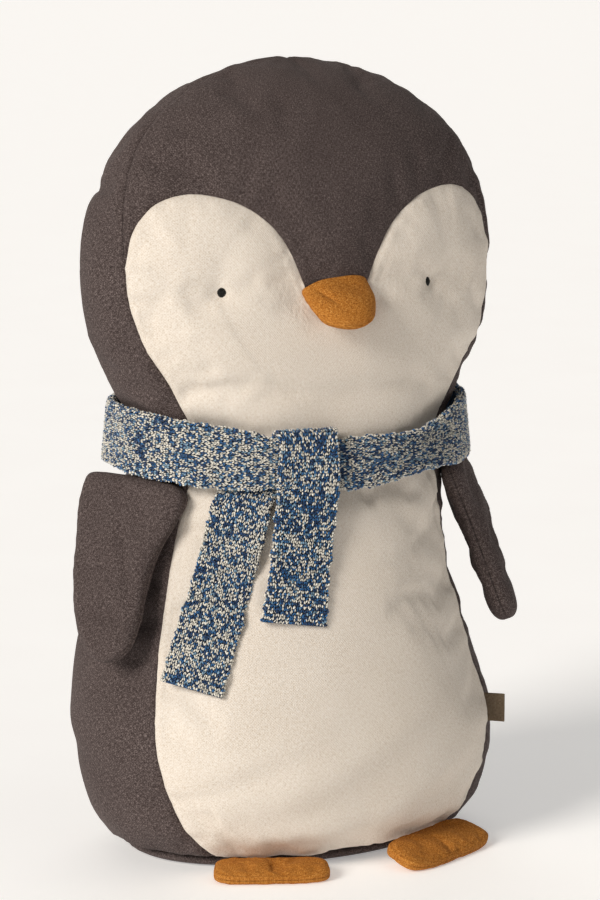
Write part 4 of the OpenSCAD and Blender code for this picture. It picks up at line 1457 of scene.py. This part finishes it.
def build_stage(look):
    scene = bpy.context.scene
    turn, rise = math.radians(look.camera_turn), math.radians(look.camera_rise)
    right = Vector((math.cos(turn), math.sin(turn), 0))
    ahead = Vector((-math.sin(turn) * math.cos(rise), math.cos(turn) * math.cos(rise), -math.sin(rise)))
    target = Vector((0, 0, 0.274)) + right * 0.0105
    lens = bpy.data.cameras.new("studio_camera")
    lens.sensor_width = 36
    lens.lens = look.lens
    camera = bpy.data.objects.new("studio_camera", lens)
    camera.location = target - ahead * look.camera_distance
    camera.rotation_euler = ahead.to_track_quat("-Z", "Y").to_euler()
    scene.collection.objects.link(camera)
    scene.camera = camera
    step = np.linspace(-FLOOR_HALF, FLOOR_HALF, 9)
    x, y = np.meshgrid(step, step)
    floor = mesh_piece(
        "studio_floor", np.stack([x, y, 0 * x - FLOOR_DROP], -1).reshape(-1, 3), grid_faces(9, 9),
        studio_floor("painted_board", look.floor),
    )
    sun_light("key", -70, 28, 22, look.key_power, "#fffaf3")
    sun_light("fill", 40, 50, 60, look.fill_power, "#fbf7f2")
    sun_light("behind", 160, 30, 50, look.fill_power * BEHIND_SHARE, "#fbf7f2")
    world = bpy.data.worlds.new("studio_air")
    world.use_nodes = True
    world.node_tree.nodes["Background"].inputs["Color"].default_value = linear("#f3f1ee")
    world.node_tree.nodes["Background"].inputs["Strength"].default_value = look.air
    scene.world = world
    scene.view_settings.view_transform = "Standard"


# ---- settings ----------------------------------------------------------------------------------------


def number_of(name, description, default, **limits):
    return bpy.props.FloatProperty(name=name, description=description, default=default, **limits)


def size_of(name, description, default):
    return number_of(name, description, default * MM, unit="LENGTH", precision=5)


def colour_of(name, description, default):
    described = description + ", as an sRGB hex value"
    return bpy.props.StringProperty(name=name, description=described, default=default)


class PenguinCloth(bpy.types.PropertyGroup):
    """Sizes and colours of the linen and its stuffing."""

    charcoal: colour_of("Charcoal", "Dark linen of the cap, back and wings", "#463b39")
    natural: colour_of("Natural", "Light linen of the face and belly", "#e8ddd0")
    mustard: colour_of("Mustard", "Linen of the beak and feet", "#b26f26")
    sheen: number_of("Sheen", "Soft fibre sheen of the dark cloth", 0.12, min=0, max=1)
    mesh_step: size_of("Mesh step", "Spacing of the body's mesh along its seams", 2.2)
    seam_depth: size_of("Seam depth", "How deep a seam draws the cloth in", 1.8)
    pucker_depth: size_of("Pucker depth", "Depth of the puckers beside a seam", 2.3)
    lumpiness: size_of("Lumpiness", "Unevenness of the stuffing under the cloth", 0.65)
    eye_pull: size_of("Eye pull", "How deep the eye threads draw the face in", 4.8)
    swell: size_of("Body swell", "Furthest that stuffing moves the body's cloth", 5)
    wing_swell: size_of("Wing swell", "Furthest that stuffing moves a wing's cloth", 4)
    foot_swell: size_of("Foot swell", "Furthest that wadding moves a foot's cloth", 1.2)
    pressure: number_of("Stuffing pressure", "Pressure of the stuffing on the cloth", 4, min=0, max=20)
    cloth_slack: number_of(
        "Cloth slack", "Share by which cloth between seams is longer than its seam", 0.03, min=0, max=0.2
    )


class PenguinScarf(bpy.types.PropertyGroup):
    """Gauge and dyes of the knitted scarf."""

    stitch_width: size_of("Stitch width", "Width of one knitted stitch", 3.0)
    stitch_height: size_of("Stitch height", "Height of one course of stitches", 2.05)
    yarn: size_of("Yarn thickness", "Thickness of the yarn", 1.4)
    blue: colour_of("Blue", "Main dye", "#29659c")
    pale_blue: colour_of("Pale blue", "Second dye", "#86a9c2")
    cream: colour_of("Cream", "Undyed yarn", "#f4efe2")
    navy: colour_of("Navy", "Darkest dye", "#17406f")


class PenguinStage(bpy.types.PropertyGroup):
    """Camera, light and floor."""

    camera_turn: number_of("Camera turn", "Angle of the camera round the penguin in degrees", -26)
    camera_rise: number_of("Camera rise", "Angle of the camera above the floor in degrees", 9.5)
    camera_distance: number_of(
        "Camera distance", "Distance to the middle of the penguin", 2.206, unit="LENGTH"
    )
    lens: number_of("Lens", "Focal length in millimetres on a 36 mm sensor", 126.8)
    floor: colour_of("Floor", "Painted floor", "#f8f6f4")
    key_power: number_of("Key light", "Strength of the main light", 2.45)
    fill_power: number_of("Fill light", "Strength of the light that fills the shadows", 0.1)
    air: number_of("Air", "Strength of the even light from all round", 0.2)


# ---- operators -----------------------------------------------------------------------------------------


class PENGUIN_OT_body(bpy.types.Operator):
    """Builds the four linen panels of the body"""

    bl_idname = "penguin.body"
    bl_label = "Body panels"

    def execute(self, context):
        build_body(context.scene.penguin_cloth)
        return {"FINISHED"}


class PENGUIN_OT_base(bpy.types.Operator):
    """Builds the oval base panel"""

    bl_idname = "penguin.base"
    bl_label = "Base"

    def execute(self, context):
        build_base()
        return {"FINISHED"}


class PENGUIN_OT_wings(bpy.types.Operator):
    """Builds the two padded wings"""

    bl_idname = "penguin.wings"
    bl_label = "Wings"

    def execute(self, context):
        build_wings(context.scene.penguin_cloth)
        return {"FINISHED"}


class PENGUIN_OT_feet(bpy.types.Operator):
    """Builds the two padded feet"""

    bl_idname = "penguin.feet"
    bl_label = "Feet"

    def execute(self, context):
        build_feet(context.scene.penguin_cloth)
        return {"FINISHED"}


class PENGUIN_OT_beak(bpy.types.Operator):
    """Builds the stuffed beak"""

    bl_idname = "penguin.beak"
    bl_label = "Beak"

    def execute(self, context):
        build_beak()
        return {"FINISHED"}


class PENGUIN_OT_eyes(bpy.types.Operator):
    """Builds the two stitched eyes"""

    bl_idname = "penguin.eyes"
    bl_label = "Eyes"

    def execute(self, context):
        build_eyes(context.scene.penguin_cloth)
        return {"FINISHED"}


class PENGUIN_OT_stitches(bpy.types.Operator):
    """Builds the hand stitches of the back seam"""

    bl_idname = "penguin.stitches"
    bl_label = "Closing stitches"

    def execute(self, context):
        build_stitches()
        return {"FINISHED"}


class PENGUIN_OT_scarf(bpy.types.Operator):
    """Knits the scarf"""

    bl_idname = "penguin.scarf"
    bl_label = "Scarf"

    def execute(self, context):
        build_scarf(context.scene.penguin_scarf)
        return {"FINISHED"}


class PENGUIN_OT_label(bpy.types.Operator):
    """Builds the folded side label"""

    bl_idname = "penguin.label"
    bl_label = "Label"

    def execute(self, context):
        build_label()
        return {"FINISHED"}


class PENGUIN_OT_stage(bpy.types.Operator):
    """Sets up the floor, lights and camera"""

    bl_idname = "penguin.stage"
    bl_label = "Stage"

    def execute(self, context):
        build_stage(context.scene.penguin_stage)
        return {"FINISHED"}


OPERATORS = (
    PENGUIN_OT_stage, PENGUIN_OT_body, PENGUIN_OT_base, PENGUIN_OT_wings, PENGUIN_OT_feet, PENGUIN_OT_beak,
    PENGUIN_OT_eyes, PENGUIN_OT_stitches, PENGUIN_OT_scarf, PENGUIN_OT_label,
)
GROUPS = (("penguin_cloth", PenguinCloth), ("penguin_scarf", PenguinScarf), ("penguin_stage", PenguinStage))


class PENGUIN_PT_panel(bpy.types.Panel):
    """Lists the penguin's settings and pieces"""

    bl_idname = "PENGUIN_PT_panel"
    bl_label = "Plush penguin"
    bl_space_type = "VIEW_3D"
    bl_region_type = "UI"
    bl_category = "Penguin"

    def draw(self, context):
        for name, group in GROUPS:
            box = self.layout.box()
            for setting in group.__annotations__:
                box.prop(getattr(context.scene, name), setting)
        for operator in OPERATORS:
            self.layout.operator(operator.bl_idname)


CLASSES = tuple(group for _, group in GROUPS) + OPERATORS + (PENGUIN_PT_panel,)


def register():
    for cls in CLASSES:
        bpy.utils.register_class(cls)
    for name, group in GROUPS:
        setattr(bpy.types.Scene, name, bpy.props.PointerProperty(type=group))


def unregister():
    for name, _ in GROUPS:
        delattr(bpy.types.Scene, name)
    for cls in reversed(CLASSES):
        bpy.utils.unregister_class(cls)


def main():
    register()
    for operator in OPERATORS:
        group, name = operator.bl_idname.split(".")
        getattr(getattr(bpy.ops, group), name)()
    bpy.context.view_layer.update()


if __name__ == "__main__":
    main()
